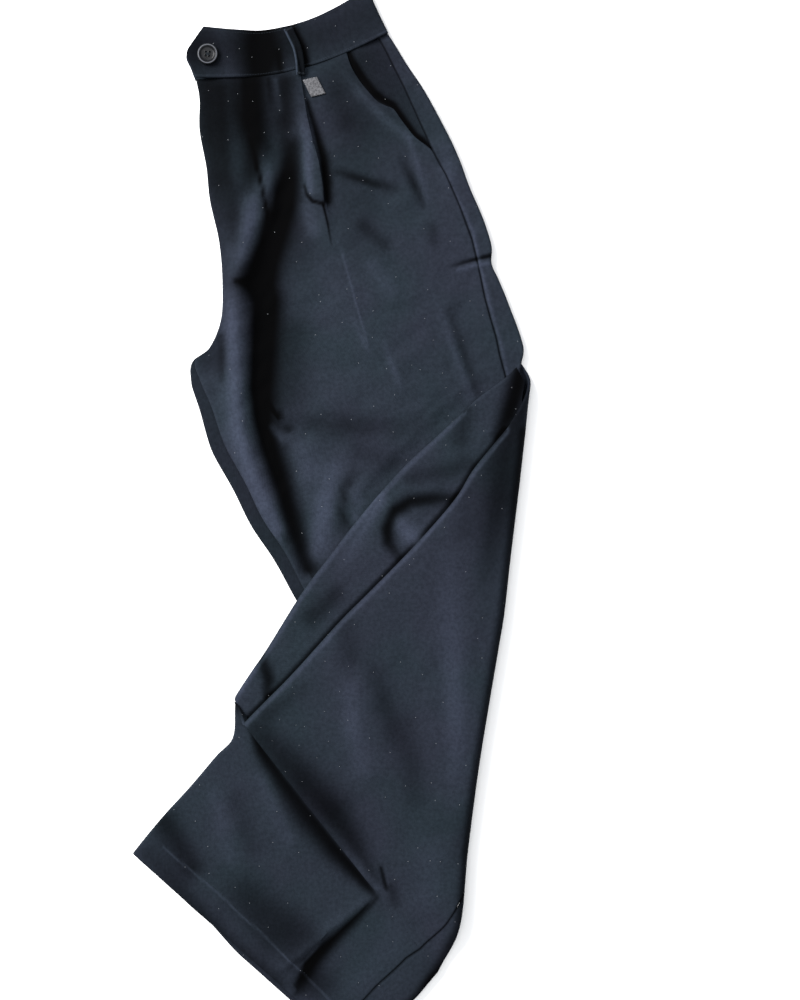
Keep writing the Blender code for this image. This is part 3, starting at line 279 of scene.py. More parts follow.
THIGH_CREASES = (
    # name, then x, y, reach towards -X, reach towards +X, height, painted shading (painted shade below
    # 0, painted highlight above 0)
    ("valley", ((-34, 324, 8, 10, -1.2, -0.45), (-39, 298, 9, 12, -2.2, -0.9),
        (-44, 274, 12, 13, -2.4, -1.3), (-52, 249, 12, 15, -2.4, -1.35),
        (-59, 226, 14, 16, -2.4, -1.35), (-62, 207, 16, 16, -2.4, -1.35),
        (-59, 191, 11, 16, -2.4, -1.35), (-61, 165, 9, 16, -2.4, -1.35), (-64, 116, 7, 16, -2.4, -1.3),
        (-62, 90, 6, 15, -2.4, -1.15), (-55, 63, 7, 13, -2.2, -1.05), (-43, 28, 7, 12, -2, -0.95),
        (-33, -7, 7, 11, -2, -0.85), (-21, -40, 6, 10, -2, -0.75))),
    ("valley_notch", ((-71, 208, 4, 5, -0.5, -0.5), (-82, 208, 3, 3, -0.5, -0.5))),
    ("fly_light", ((-66, 287, 7, 6, 0.4, 0.15), (-68, 267, 8, 7, 0.8, 0.6),
        (-69, 245, 8, 7, 0.8, 0.62), (-75, 230, 7, 7, 0.6, 0.5), (-82, 219, 5, 5, 0, 0.1))),
    ("fly_hollow", ((-83, 284, 8, 7, -1, -0.2), (-83, 264, 8, 7, -1.3, -0.35),
        (-85, 245, 7, 7, -0.8, -0.2))),
    ("inseam_light", ((-88, 193, 7, 7, 0, 0.15), (-85, 171, 8, 7, 0.8, 0.5), (-83, 141, 9, 7, 1, 0.5),
        (-82, 106, 9, 7, 1, 0.55), (-80, 78, 10, 6, 0.9, 0.62), (-66, 37, 10, 7, 0.7, 0.68),
        (-47, -5, 10, 6, 0.5, 0.72))),
    ("crotch_hollow", ((-95, 160, 4, 5, -0.6, -0.3), (-95, 143, 4, 5, -0.9, -0.45),
        (-95, 125, 4, 5, -0.5, -0.25))),
    ("inner_pleat_line", ((-71, 332, 1.2, 1.4, -0.4, -0.3), (-65, 311, 1.2, 1.4, -0.9, -0.6),
        (-61, 294, 1.2, 1.4, -0.9, -0.65), (-55, 262, 1.2, 1.4, -0.5, -0.4))),
    ("inner_pleat_light", ((-61, 324, 4, 4, 0.4, 0.15), (-54, 298, 5, 4, 0.8, 0.32),
        (-50, 270, 4, 4, 0.5, 0.25))),
    ("outer_pleat_shade", ((-21, 364, 1.2, 2.5, -0.3, -0.45), (-15, 341, 1.2, 4, -0.4, -0.65),
        (-8, 315, 2, 5.5, -0.6, -0.9), (-5, 293, 2.4, 5.5, -0.6, -0.95),
        (-4, 278, 2.4, 4.5, -0.5, -0.8))),
    ("pleat_hook", ((-23, 291, 1.5, 1.5, -0.5, -0.5), (-21, 283, 1.6, 1.6, -0.9, -0.75),
        (-16, 277, 1.6, 1.6, -0.9, -0.75), (-7, 275, 1.6, 1.6, -0.8, -0.7))),
    ("pleat_light", ((-25, 351, 5, 4, 0.4, 0.15), (-21, 331, 6, 5, 0.8, 0.5),
        (-20, 306, 6, 5, 0.8, 0.6), (-19, 287, 6, 5, 0.6, 0.5))),
    ("hook_light", ((-22, 271, 7, 8, 0.6, 0.3), (-15, 251, 7, 7, 0.5, 0.3))),
    ("pleat_tail", ((-7, 274, 1, 1.2, -0.7, -0.7), (-3, 258, 1, 1.2, -0.6, -0.55),
        (0, 241, 1, 1, -0.2, -0.2))),
    ("pressed_crease", ((5, 245, 1.4, 1.6, 0.1, 0.05), (10, 231, 1.2, 1.6, 0.5, 0.2),
        (25, 177, 1.2, 1.6, 0.6, 0.28), (32, 154, 1.2, 1.6, 0.3, 0.15))),
    ("upper_streak", ((46, 154, 3, 3, 0.3, 0.1), (54, 132, 3, 3, 0.5, 0.26),
        (62, 113, 3, 3, 0.3, 0.1))),
    ("side_pair_light", ((94, 186, 5, 3, 0.4, 0.08), (107, 149, 5, 3, 1, 0.2),
        (122, 106, 5, 3, 0.5, 0.12))),
    ("side_pair_dark", ((102, 183, 3, 5, -0.4, -0.12), (114, 149, 3, 5, -1, -0.25),
        (128, 108, 3, 5, -0.5, -0.15))),
    ("pocket_light", ((13, 389, 6, 3, 0.2, 0.1), (26, 371, 6, 3, 0.4, 0.25),
        (46, 351, 6, 3, 0.4, 0.25), (68, 332, 5, 3, 0.3, 0.2))),
    ("seam_light", ((106, 289, 1.4, 2, 0.2, 0.15), (122, 254, 1.4, 2, 0.5, 0.45),
        (136, 193, 1.4, 2, 0.5, 0.45), (146, 158, 1.4, 2, 0.4, 0.35), (153, 128, 1.4, 2, 0.3, 0.3))),
    ("back_light", ((99, 324, 6, 6, 0.3, 0.2), (103, 298, 6, 6, 0.3, 0.22))),
    ("pocket_trough", ((5, 303, 4, 4, -0.4, -0.2), (18, 299, 3.5, 4, -0.9, -0.4),
        (35, 293, 3.5, 4.5, -1.1, -0.42), (54, 289, 5, 5, -0.5, -0.2))),
    ("hip_trough", ((63, 310, 4, 4, -0.4, -0.2), (72, 292, 4, 4, -1.1, -0.45),
        (80, 275, 4, 4, -0.4, -0.2))),
    ("hip_streak", ((65, 338, 3, 3, 0.3, 0.15), (76, 308, 3, 3, 0.8, 0.3), (83, 278, 3, 3, 0.4, 0.15))),
    # Painted shade in small hollows, then a painted highlight on the swells beside them
    ("hollow_shade_a", ((5, 371, 9, 9, -0.4, -0.1), (12, 346, 9, 9, -0.4, -0.12))),
    ("hollow_shade_b", ((28, 256, 6, 6, -0.5, -0.22), (46, 240, 6, 6, -0.5, -0.22))),
    ("hollow_shade_c", ((88, 254, 5, 5, -0.4, -0.22), (89, 243, 5, 5, -0.4, -0.2))),
    ("swell_highlight", ((34, 223, 7, 7, 0.5, 0.18), (52, 200, 7, 7, 0.4, 0.15))),
    ("pinch", ((103, 221, 1.5, 1.8, -0.2, -0.1), (112, 224, 1.5, 1.8, -0.6, -0.4),
        (122, 227, 1.5, 1.8, -0.8, -0.65), (138, 231, 1.6, 2, -0.9, -0.7))),
    ("pinch_light", ((110, 218, 2.2, 2.2, 0.5, 0.3), (124, 222, 2.2, 2.2, 0.8, 0.45),
        (136, 224, 2.5, 2.5, 0.8, 0.5))),
    ("knee_hollow", ((-32, 85, 11, 11, -1, -0.18), (16, 83, 12, 12, -1.6, -0.3),
        (59, 80, 10, 10, -1, -0.12), (94, 85, 9, 9, -0.3, 0))),
    ("knee_hollow_low", ((25, 61, 8, 8, -0.8, -0.16), (61, 47, 8, 8, -0.6, -0.1))),
    ("bright_knee", ((2, 45, 9, 9, 0.5, 0.3), (-5, 12, 11, 9, 1, 0.7), (-12, -26, 10, 8, 0.8, 0.55))),
    ("dimple", ((18, 42, 6, 4, -0.3, -0.15), (12, 28, 8, 4, -0.8, -0.42), (9, 12, 8, 4, -0.9, -0.45),
        (12, -2, 8, 4, -0.8, -0.38), (19, -14, 6, 4, -0.3, -0.12))),
    ("dimple_light", ((22, 28, 5, 5, 0.8, 0.3), (22, 3, 5, 5, 0.8, 0.35))),
    ("middle_streak", ((20, 176, 2.5, 2.5, 0.3, 0.12), (27, 158, 2.5, 2.5, 0.5, 0.25),
        (33, 145, 2.5, 2.5, 0.2, 0.1))),
    ("small_curve", ((-55, 103, 1.5, 2, -0.4, -0.3), (-46, 90, 1.5, 2.2, -1.1, -0.55),
        (-36, 78, 1.5, 2, -0.5, -0.3))),
    ("small_wedge", ((-52, 82, 4, 4, 0.7, 0.4), (-43, 72, 4, 4, 0.6, 0.35))),
    ("under_band", ((-71, 393, 14, 15, -0.6, -0.72), (-70, 358, 14, 15, -0.8, -0.8),
        (-65, 324, 11, 12, -0.6, -0.75), (-71, 289, 8, 8, -0.3, -0.3))),
    ("pucker_a", ((-55, 385, 2, 2, 0.5, -0.2), (-53, 364, 2, 2, 0.2, -0.1))),
    ("pucker_b", ((-48, 383, 2.4, 2.4, 0.8, 0.25), (-44, 357, 3, 3, 0.3, 0.15))),
    ("pucker_c", ((-80, 383, 3, 3, 0.5, 0.12), (-77, 357, 3, 3, 0.3, 0.1))),
    ("fly_stitch_hollow", ((-95, 376, 5, 5, -0.5, -0.12), (-92, 324, 5, 5, -0.5, -0.12),
        (-88, 293, 5, 5, -0.4, -0.1))),
    ("fly_side", ((-108, 385, 17, 17, -0.2, -0.5), (-103, 332, 17, 17, -0.2, -0.5),
        (-95, 293, 13, 13, -0.1, -0.38), (-90, 258, 9, 9, 0, -0.1))),
    ("pleat_between", ((-40, 381, 10, 10, 0, -0.5), (-40, 345, 9, 9, 0, -0.42),
        (-43, 317, 7, 7, 0, -0.1))),
    ("panel_upper", ((7, 378, 24, 24, 0, -0.2), (18, 348, 22, 22, 0, -0.2))),
    ("pocket_zone", ((32, 402, 36, 36, 0, -0.2), (52, 348, 32, 32, 0, -0.14))),
    ("valley_side", ((-31, 167, 14, 14, 0, -0.22), (-33, 110, 14, 14, 0, -0.22))),
    ("upper_shade", ((-80, 389, 42, 46, 0, -0.26), (-76, 345, 42, 42, 0, -0.24),
        (-75, 311, 34, 30, 0, -0.1))),
    ("left_strip", ((-104, 298, 12, 12, 0, -0.14), (-102, 245, 12, 12, 0, -0.24),
        (-105, 193, 10, 10, 0, -0.16), (-108, 141, 12, 12, 0, -0.25))),
    ("pleat_foot", ((-28, 350, 14, 14, 0, -0.1), (-29, 298, 16, 14, 0, -0.18),
        (-26, 245, 16, 16, 0, -0.22), (-28, 202, 12, 12, 0, -0.06))),
    ("panel_middle", ((16, 324, 28, 28, 0, -0.12), (21, 280, 28, 28, 0, -0.18),
        (26, 237, 24, 24, 0, -0.1))),
    ("knee_light", ((-31, 75, 10, 14, 0, 0.12), (-22, 45, 9, 13, 0, 0.34), (-28, 19, 6, 8, 0, 0.1))),
)
CALF_CREASES = (
    # name, then x, y, reach towards -X, reach towards +X, height, painted shading (painted shade below
    # 0, painted highlight above 0)
    ("fold_shade", ((160, 108, 16, 16, 0, -0.55), (151, 63, 18, 16, -0.4, -0.5),
        (146, 19, 18, 16, -0.5, -0.5), (139, -20, 12, 12, -0.2, -0.3), (131, -68, 9, 9, 0, -0.04),
        (120, -172, 8, 8, 0, 0), (113, -285, 9, 9, 0, -0.15))),
    ("fold_spot", ((118, 24, 10, 10, -0.6, -0.14), (116, -7, 10, 10, -0.6, -0.14))),
    ("upper_soft_dark", ((12, -87, 11, 11, -0.6, -0.14), (18, -116, 11, 11, -0.8, -0.16))),
    ("middle_light", ((17, -146, 10, 10, 0.8, 0.2), (20, -179, 10, 10, 1.4, 0.32),
        (26, -211, 10, 10, 0.8, 0.2))),
    ("middle_dark", ((39, -130, 9, 9, -0.7, -0.14), (48, -161, 10, 10, -1.4, -0.24),
        (57, -190, 9, 9, -0.7, -0.14))),
    ("side_light", ((101, -33, 10, 10, 0, 0.1), (104, -103, 11, 11, 0.5, 0.3),
        (108, -159, 11, 11, 0.9, 0.38), (110, -207, 11, 11, 0.5, 0.25), (108, -242, 10, 10, 0.2, 0.1))),
    ("side_dark", ((65, -174, 10, 10, -0.6, -0.12), (70, -207, 11, 11, -1, -0.2),
        (73, -238, 10, 10, -0.6, -0.12))),
    ("near_edge_light", ((-1, -103, 5, 5, 0.3, 0.14), (-28, -134, 5, 5, 0.3, 0.06),
        (-54, -162, 5, 5, 0.3, 0))),
    ("tuck_ridge", ((-19, -247, 6, 7, 0.3, 0.05), (5, -273, 5, 6, 0.9, 0.2),
        (26, -301, 4, 5, 1.6, 0.38), (39, -318, 3, 3, 1.2, 0.35))),
    ("tuck_pinch", ((43, -301, 1.5, 1.8, -1, -0.55), (47, -318, 1.5, 1.8, -1.2, -0.65))),
    ("tuck_pinch_shade", ((51, -318, 3, 6, -0.6, -0.3), (54, -331, 3, 6, -0.5, -0.25))),
    ("broad_light", ((86, -285, 14, 14, 0.5, 0.15), (81, -329, 14, 14, 0.5, 0.15))),
    ("left_low", ((-64, -181, 12, 12, 0, -0.3), (-36, -211, 15, 16, 0, -0.45),
        (-1, -252, 17, 18, 0, -0.6), (18, -282, 12, 13, 0, -0.5), (35, -310, 7, 7, 0, -0.3))),
    ("end_shade", ((-28, -146, 9, 9, 0, -0.1), (-55, -165, 9, 9, 0, -0.22))),
)
HEM_CREASES = (
    # name, then x, y, reach towards -X, reach towards +X, height, painted shading (painted shade below
    # 0, painted highlight above 0)
    ("tuck_shade", ((-69, -179, 3, 2.5, -0.6, -0.75), (-61, -198, 6, 3, -0.8, -0.8),
        (-43, -223, 10, 4, -0.8, -0.75), (-23, -249, 14, 4, -0.8, -0.75), (5, -285, 11, 4, -0.9, -0.8),
        (37, -322, 4, 3, -0.6, -0.8))),
    ("band_end_shade", ((-82, -155, 6, 6, -2.6, -0.85), (-71, -167, 6, 6, -2.6, -0.85))),
    ("crease_low", ((40, -323, 5, 1.2, 0.8, 0.12), (23, -336, 6, 1.2, 1.8, 0.12),
        (-1, -355, 7, 1.2, 3, 0.1), (-28, -378, 7, 1.2, 2.6, 0.08), (-41, -388, 6, 1.2, 1, 0.05))),
    ("crease_low_shade", ((39, -326, 1.5, 3, -0.2, -0.45), (21, -343, 1.5, 5, -0.7, -0.75),
        (0, -362, 2, 7, -1, -0.9), (-21, -383, 2, 9, -1, -0.9), (-30, -403, 3, 8, -0.6, -0.6))),
    ("corner_patch", ((-145, -261, 12, 12, -1, -0.42), (-122, -299, 12, 12, -1, -0.42))),
    ("patch_light", ((-101, -238, 8, 8, 0.6, 0.16), (-87, -292, 8, 8, 0.6, 0.16))),
    ("patch_dark", ((-82, -242, 9, 9, -0.8, -0.13), (-69, -282, 9, 9, -0.8, -0.13))),
    ("patch_light_b", ((-59, -224, 8, 8, 0.6, 0.18), (-38, -275, 8, 8, 0.6, 0.18))),
    ("hem_dark", ((-76, -322, 18, 16, -0.4, -0.26), (-38, -350, 18, 16, -0.4, -0.36),
        (-12, -364, 10, 10, -0.2, -0.25))),
    ("right_light", ((59, -355, 14, 14, 0.5, 0.14), (25, -403, 14, 14, 0.4, 0.12))),
    ("right_edge_shade", ((110, -333, 9, 9, -0.4, -0.6), (103, -372, 10, 9, -0.5, -0.7),
        (91, -403, 10, 9, -0.4, -0.7))),
    ("hem_strip", ((-158, -290, 10, 10, 0, -0.2), (-136, -316, 12, 10, 0, -0.32),
        (-93, -368, 12, 11, 0, -0.5), (-54, -403, 13, 12, 0, -0.55))),
    ("hem_low", ((-35, -372, 12, 13, 0, -0.22), (-12, -400, 15, 15, 0, -0.34))),
    ("hem_middle", ((-71, -342, 12, 12, 0, -0.12), (-55, -362, 13, 13, 0, -0.22))),
)
BAND_CREASES = (
    # name, then x, y, reach towards -X, reach towards +X, height, painted shading (painted shade below
    # 0, painted highlight above 0)
    ("void", ((165, 139, 7, 9, -0.3, -0.85), (161, 117, 9, 9, -0.5, -0.9),
        (154, 93, 9, 8, -0.5, -0.85), (145, 75, 6, 6, -0.3, -0.6))),
    ("curl", ((107, 21, 5, 5, -0.4, -0.45), (86, 20, 6, 6, -0.8, -0.65), (68, 18, 5.5, 6, -0.9, -0.75),
        (55, 10, 5, 6.5, -0.9, -0.82), (48, -6, 5, 6.5, -0.9, -0.82), (49, -17, 5, 6, -0.8, -0.7),
        (58, -30, 4, 4, -0.4, -0.35))),
    ("curl_light", ((58, 0, 6, 6, 0.3, 0.5), (68, -11, 7, 8, 0.5, 0.75), (80, -21, 6, 6, 0.3, 0.5))),
    ("upper_dark", ((116, 94, 8, 8, -0.4, -0.25), (112, 71, 8, 8, -0.4, -0.25))),
    ("middle_dark", ((70, 38, 7, 7, -0.4, -0.2), (94, 42, 8, 8, -0.5, -0.26),
        (120, 50, 7, 7, -0.4, -0.22))),
    ("low_dark", ((4, -63, 9, 8, -0.4, -0.3), (-17, -82, 9, 8, -0.4, -0.32))),
    ("end_triangle", ((-62, -117, 5, 6, -0.5, -0.5), (-55, -137, 5.5, 6, -0.7, -0.65),
        (-57, -150, 4, 5, -0.4, -0.5))),
    ("end_light", ((-69, -127, 5, 5, 0.3, 0.2), (-77, -144, 5, 5, 0.3, 0.2))),
    ("band_upper_light", ((42, 19, 7, 6, 0, 0.6), (28, -5, 6, 6, 0, 0.45), (12, -33, 6, 6, 0, 0.15))),
)
UNDULATION = (
    # wave length, direction in degrees, start in degrees, height
    (61, 12, 40, 0.30),
    (47, 74, 210, 0.26),
    (53, 128, 95, 0.24),
    (34, 37, 300, 0.17),
    (29, 101, 20, 0.15),
    (23, 158, 140, 0.10),
    (17, 58, 260, 0.06),
    (13, 139, 80, 0.04),
)


def cad_shift():
    """Metres from the tables' own origin to the frame's, read at the middle of the button."""
    low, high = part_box("button")
    middle = (np.array(low) + np.array(high)) / 2
    return np.array((middle[0] - BUTTON_AT[0] * MM, middle[1] - BUTTON_AT[1] * MM, 0.0))


SHIFT = cad_shift()


def read_table(rows, places):
    """Rows of a table at places between them, on a smooth curve through the rows."""
    points = np.array(rows, float)
    places = np.clip(np.array(places, float), 0, len(points) - 1)
    i = np.minimum(places.astype(int), len(points) - 2)
    f = (places - i)[:, None]
    p = np.vstack([2 * points[0] - points[1], points, 2 * points[-1] - points[-2]])
    a, b, c, d = p[i], p[i + 1], p[i + 2], p[i + 3]
    return 0.5 * (2 * b + (c - a) * f + (2 * a - 5 * b + 4 * c - d) * f**2
                  + (3 * b - a - 3 * c + d) * f**3)


def smooth(rows, samples):
    """A table read at evenly parted places."""
    return read_table(rows, np.linspace(0, len(rows) - 1, samples))


def step(t):
    """A smooth step from 0 to 1 as t goes from 0 to 1."""
    t = np.clip(t, 0, 1)
    return t * t * (3 - 2 * t)


def bell(t, middle, reach):
    """e to the minus square of t's distance from the middle over the reach."""
    return np.exp(-((t - middle) / reach) ** 2)


def unit(v):
    """Vectors divided by their own lengths."""
    return v / np.linalg.norm(v, axis=-1, keepdims=True)


def eased(count):
    """Places from 0 to 1, closer at both ends: half of one minus a cosine."""
    return (1 - np.cos(np.linspace(0, math.pi, count))) / 2


def beside(x, y, curve):
    """Distance from a curve, negative on its -X side as it runs towards -Y, and place along it."""
    points = np.array(curve, float)
    best = np.full(np.shape(x), np.inf)
    signed, place = np.zeros(np.shape(x)), np.zeros(np.shape(x))
    for k in range(len(points) - 1):
        start, run = points[k], points[k + 1] - points[k]
        t = np.clip(((x - start[0]) * run[0] + (y - start[1]) * run[1]) / (run @ run), 0, 1)
        dx, dy = x - start[0] - t * run[0], y - start[1] - t * run[1]
        away = np.hypot(dx, dy)
        side = np.sign(run[0] * dy - run[1] * dx)
        near = away < best
        best = np.where(near, away, best)
        signed = np.where(near, side * away, signed)
        place = np.where(near, k + t, place)
    return signed, place


def bells(x, y, folds, column):
    """Sum over the folds of a column's value times a bell across the fold's line."""
    total = np.zeros(np.shape(x))
    for _, rows in folds:
        table = np.array(rows, float)
        away, place = beside(x, y, table[:, :2])
        before, after, amount = (np.interp(place, np.arange(len(table)), table[:, k])
                                 for k in (2, 3, column))
        total += amount * bell(away, 0, np.where(away < 0, before, after))
    return total


def fold_height(x, y, folds):
    """Sum of the folds' heights."""
    return bells(x, y, folds, 4)


def undulation(x, y, seed):
    """Small waves of uneven cloth, a sum of sines along eight directions."""
    total = np.zeros(np.shape(x))
    for k, (wave, turn, start, height) in enumerate(UNDULATION):
        angle = math.radians(turn + 31 * seed)
        along = (x * math.cos(angle) + y * math.sin(angle)) / wave
        bend = 0.35 * np.sin(2 * math.pi * (y - x) / (wave * 2.7) + seed + k)
        total += height * np.sin(2 * math.pi * (along + bend) + math.radians(start) + 1.7 * seed)
    return total


def thigh_ramp(x, y):
    """1 over the thighs, falling to 0 on the surface past the inseam edges."""
    dx, dy = x - INSEAM_POINT[0], y - INSEAM_POINT[1]
    out = dx * INSEAM_OUT[0] + dy * INSEAM_OUT[1]
    along = -dx * INSEAM_OUT[1] + dy * INSEAM_OUT[0]
    reach = RAMP_START + (RAMP_END - RAMP_START) * np.clip(along / INSEAM_LONG, 0, 1)
    return 1 - step((out + 2) / reach)


def rest_height(x, y):
    """What the turned-back legs lie on: the thighs, and the surface past them."""
    swell = 2.5 * np.exp(-((x - 95) / 60) ** 2 - ((y - 20) / 90) ** 2)
    return (THIGH_STACK + 0.3 + swell) * thigh_ramp(x, y)


def thigh_form(x, y):
    """Top of the left leg as in the solids, without the fine creases."""
    free = THIGH_STACK + fold_height(x, y, THIGH_FOLDS)
    floor = THIGH_STACK - 0.4
    free = floor + np.logaddexp(0, (free - floor) * 1.5) / 1.5
    away, _ = beside(x, y, KNEE_LINE)
    covered = step((away + 18) / 16)
    lying = THIGH_STACK - 0.1 + (rest_height(x, y) - THIGH_STACK - 0.3) * thigh_ramp(x, y)
    return free * (1 - covered) + np.minimum(free, np.maximum(lying, floor)) * covered


def thigh_height(x, y):
    """Top of the left leg: its form, its creases and its small waves, over the layers below."""
    away, _ = beside(x, y, KNEE_LINE)
    shown = 1 - step((away + 6) / 10)
    fine = fold_height(x, y, THIGH_CREASES) + undulation(x, y, 1)
    free = thigh_form(x, y) + fine * shown
    return THIGH_FLOOR + np.logaddexp(0, (free - THIGH_FLOOR) * 2.5) / 2.5


def waist_height(x, y):
    """Top of the waistband as in the solids."""
    return WAIST_STACK + fold_height(x, y, WAIST_FOLDS)


def band_height(x, y):
    """Top of the left leg's band between the two outseams."""
    under, _ = beside(x, y, CALF_LINE)
    open_part = 1 - step((under + 9) / 8)
    fine = fold_height(x, y, BAND_CREASES) + 0.5 * undulation(x, y, 2)
    return rest_height(x, y) + CALF_TUBE + np.clip(fine, -1.7, 1.4) * open_part


def on_surface(fold):
    """Share of the fold that lies on the surface, 0 over the thighs and 1 near the hem."""
    return step((-fold[:, 1] - 268) / 100)


def calf_height(x, y, share, past):
    """Top of the turned-back right leg: share runs 0 to 1 from the outseam to the fold, and past
    is true below the tuck. Above the tuck it is the hem's height raised by the tuck's wedge."""
    rest = rest_height(x, y)
    hem = HEM_STACK + 1.2 * bell(share, 0.25, 0.15)
    tucked = TUCK_STEP * np.clip(1 - share / 0.68, 0, 1)
    near, _ = beside(x, y, TUCK_LINE)
    low_part = step((-y - 150 - 0.6 * x) / 120)
    above = CALF_STACK + fold_height(x, y, CALF_FOLDS)
    above = above * (1 - low_part) + (hem + tucked) * low_part
    fall = step(np.abs(near) / 30)
    above = above * fall + (hem + tucked) * (1 - fall)
    return rest + np.where(past, hem, above)


def below_tuck(x, y, past):
    """1 on the part below the tuck, 0 above it, and a soft change where the tuck has run out."""
    away, place = beside(x, y, TUCK_LINE)
    soft = step(0.5 - away / 26)
    closed = step((place - 3.6) / 0.5)
    return past * (1 - closed) + soft * closed


def calf_fine(x, y, past):
    """Creases and small waves of the turned-back right leg."""
    share = below_tuck(x, y, past)
    above, below = fold_height(x, y, CALF_CREASES), fold_height(x, y, HEM_CREASES)
    return above * (1 - share) + below * share + 0.6 * undulation(x, y, 3)


def crossings(start, end, curve):
    """Distance from start at which each section meets a curve, or the curve's nearest end."""
    line = smooth(curve, 12 * len(curve))
    across = end - start
    length = np.linalg.norm(across, axis=1)[:, None]
    rel = line[None] - start[:, None]
    side = (across[:, :1] * rel[..., 1] - across[:, 1:] * rel[..., 0]) / length
    along = (rel * across[:, None]).sum(-1) / length
    change = side[:, :-1] * side[:, 1:] <= 0
    k, rows = change.argmax(1), np.arange(len(start))
    t = side[rows, k] / (side[rows, k] - side[rows, k + 1] + 1e-12)
    met = along[rows, k] + t * (along[rows, k + 1] - along[rows, k])
    ends = np.where(abs(side[:, 0]) < abs(side[:, -1]), along[:, 0], along[:, -1])
    return np.where(change.any(1), met, ends)


class Sections:
    """Straight lines across a layer, read at distances from their starts, with a sideways sag."""

    def __init__(self, rows):
        rows = np.array(rows, float)
        self.start, self.end = rows[:, :2], rows[:, 2:4]
        across = self.end - self.start
        self.length = np.linalg.norm(across, axis=1)
        self.run = across / self.length[:, None]
        self.sag = rows[:, 4] if rows.shape[1] > 4 else np.zeros(len(rows))

    def plan(self, inset):
        """Plan points at distances from the starts, moved aside by the sag times a half sine."""
        share = np.clip(inset / self.length[:, None], 0, 1)
        off = self.sag[:, None] * np.sin(math.pi * share)
        x = self.start[:, :1] + self.run[:, :1] * inset - self.run[:, 1:] * off
        y = self.start[:, 1:] + self.run[:, 1:] * inset + self.run[:, :1] * off
        return x, y


def columns(marks, counts):
    """Distances along every section, evenly parted between its marks, always growing."""
    parts = [marks[0][:, None]]
    for k, count in enumerate(counts):
        t = np.linspace(0, 1, count + 1)[1:]
        parts.append(marks[k][:, None] * (1 - t) + marks[k + 1][:, None] * t)
    flat = np.hstack(parts)
    spread = LEAST_SPACING * np.arange(flat.shape[1])
    return np.maximum.accumulate(flat - spread, axis=1) + spread


def edge_turn(radius, lip, drop, turns):
    """Insets and drops of an edge that turns under: half a circle, then a flat lip below."""
    angle = np.radians(np.linspace(-90, 90, turns + 1)[:-1])
    reach = radius - drop
    inset = radius - reach * np.cos(angle)
    fall = radius - reach * np.sin(angle)
    lips = np.linspace(lip, 0.6, 3)[None]
    inset = np.hstack([radius + lips, inset])
    fall = np.hstack([np.repeat(radius + reach, 3, axis=1), fall])
    return inset, fall


def rolled_sheet(sections, flat, height, left=None, right=None, drop=0.0, turns=10):
    """Outer face of a sheet over sections, with an edge turned under at either end."""
    count = len(sections.length)
    drop = np.broadcast_to(np.asarray(drop, float), flat.shape)
    x, y = sections.plan(flat)
    grids = [np.stack([x, y, height(x, y) - drop], -1)]
    if left:
        radius = np.broadcast_to(left[0], count)[:, None]
        inset, fall = edge_turn(radius, left[1], drop[:, :1], turns)
        top = height(*sections.plan(radius))
        x, y = sections.plan(inset)
        grids.insert(0, np.stack([x, y, top - fall], -1))
    if right:
        radius = np.broadcast_to(right[0], count)[:, None]
        inset, fall = edge_turn(radius, right[1], drop[:, -1:], turns)
        long = sections.length[:, None]
        top = height(*sections.plan(long - radius))
        x, y = sections.plan(long - inset)
        grids.append(np.stack([x, y, top - fall], -1)[:, ::-1])
    return np.concatenate(grids, axis=1)


def face_normals(outer, up=1.0):
    """Unit normals of a grid, turned so that most of them point up, or down where up is -1."""
    normal = np.cross(np.gradient(outer, axis=0), np.gradient(outer, axis=1))
    normal /= np.linalg.norm(normal, axis=-1)[..., None] + 1e-12
    return normal * (np.sign(np.median(normal[..., 2])) * up)


def cut_lengths(outer):
    """Lengths along the cloth from its first corner, across and down, in millimetres."""
    across = np.linalg.norm(np.diff(outer, axis=1), axis=-1)
    down = np.linalg.norm(np.diff(outer, axis=0), axis=-1)
    u = np.hstack([np.zeros((len(outer), 1)), np.cumsum(across, axis=1)])
    v = np.concatenate([[0], np.cumsum(np.median(down, axis=1))])
    return u, np.repeat(v[:, None], outer.shape[1], axis=1)


def flat_cut(outer):
    """Greatest width, greatest length and area of a grid laid out flat, in metres."""
    width = np.linalg.norm(np.diff(outer, axis=1), axis=-1).sum(1).max()
    length = np.linalg.norm(np.diff(outer, axis=0), axis=-1).sum(0).max()
    a, b = outer[1:, 1:] - outer[:-1, :-1], outer[1:, :-1] - outer[:-1, 1:]
    area = np.linalg.norm(np.cross(a, b), axis=-1).sum() / 2
    return width * MM, length * MM, min(area, width * length) * MM * MM


def wall_faces(rows, across):
    """Quads of a closed wall between two grids of the same size."""
    size = rows * across
    index = np.arange(size).reshape(rows, across)
    top = np.stack([index[:-1, :-1], index[1:, :-1], index[1:, 1:], index[:-1, 1:]], -1)
    top = top.reshape(-1, 4)
    rim = np.concatenate([index[0], index[1:, -1], index[-1, -2::-1], index[-2:0:-1, 0]])
    after = np.roll(rim, -1)
    side = np.stack([rim, after, after + size, rim + size], -1)
    return np.vstack([top, top[:, ::-1] + size, side])


def turned_out(points, quads):
    """The quads, all turned round where their shell would enclose a negative volume."""
    a, b, c, d = (points[quads[:, k]] for k in range(4))
    volume = (a * (np.cross(b, c) + np.cross(c, d))).sum()
    return quads if volume > 0 else quads[:, ::-1]


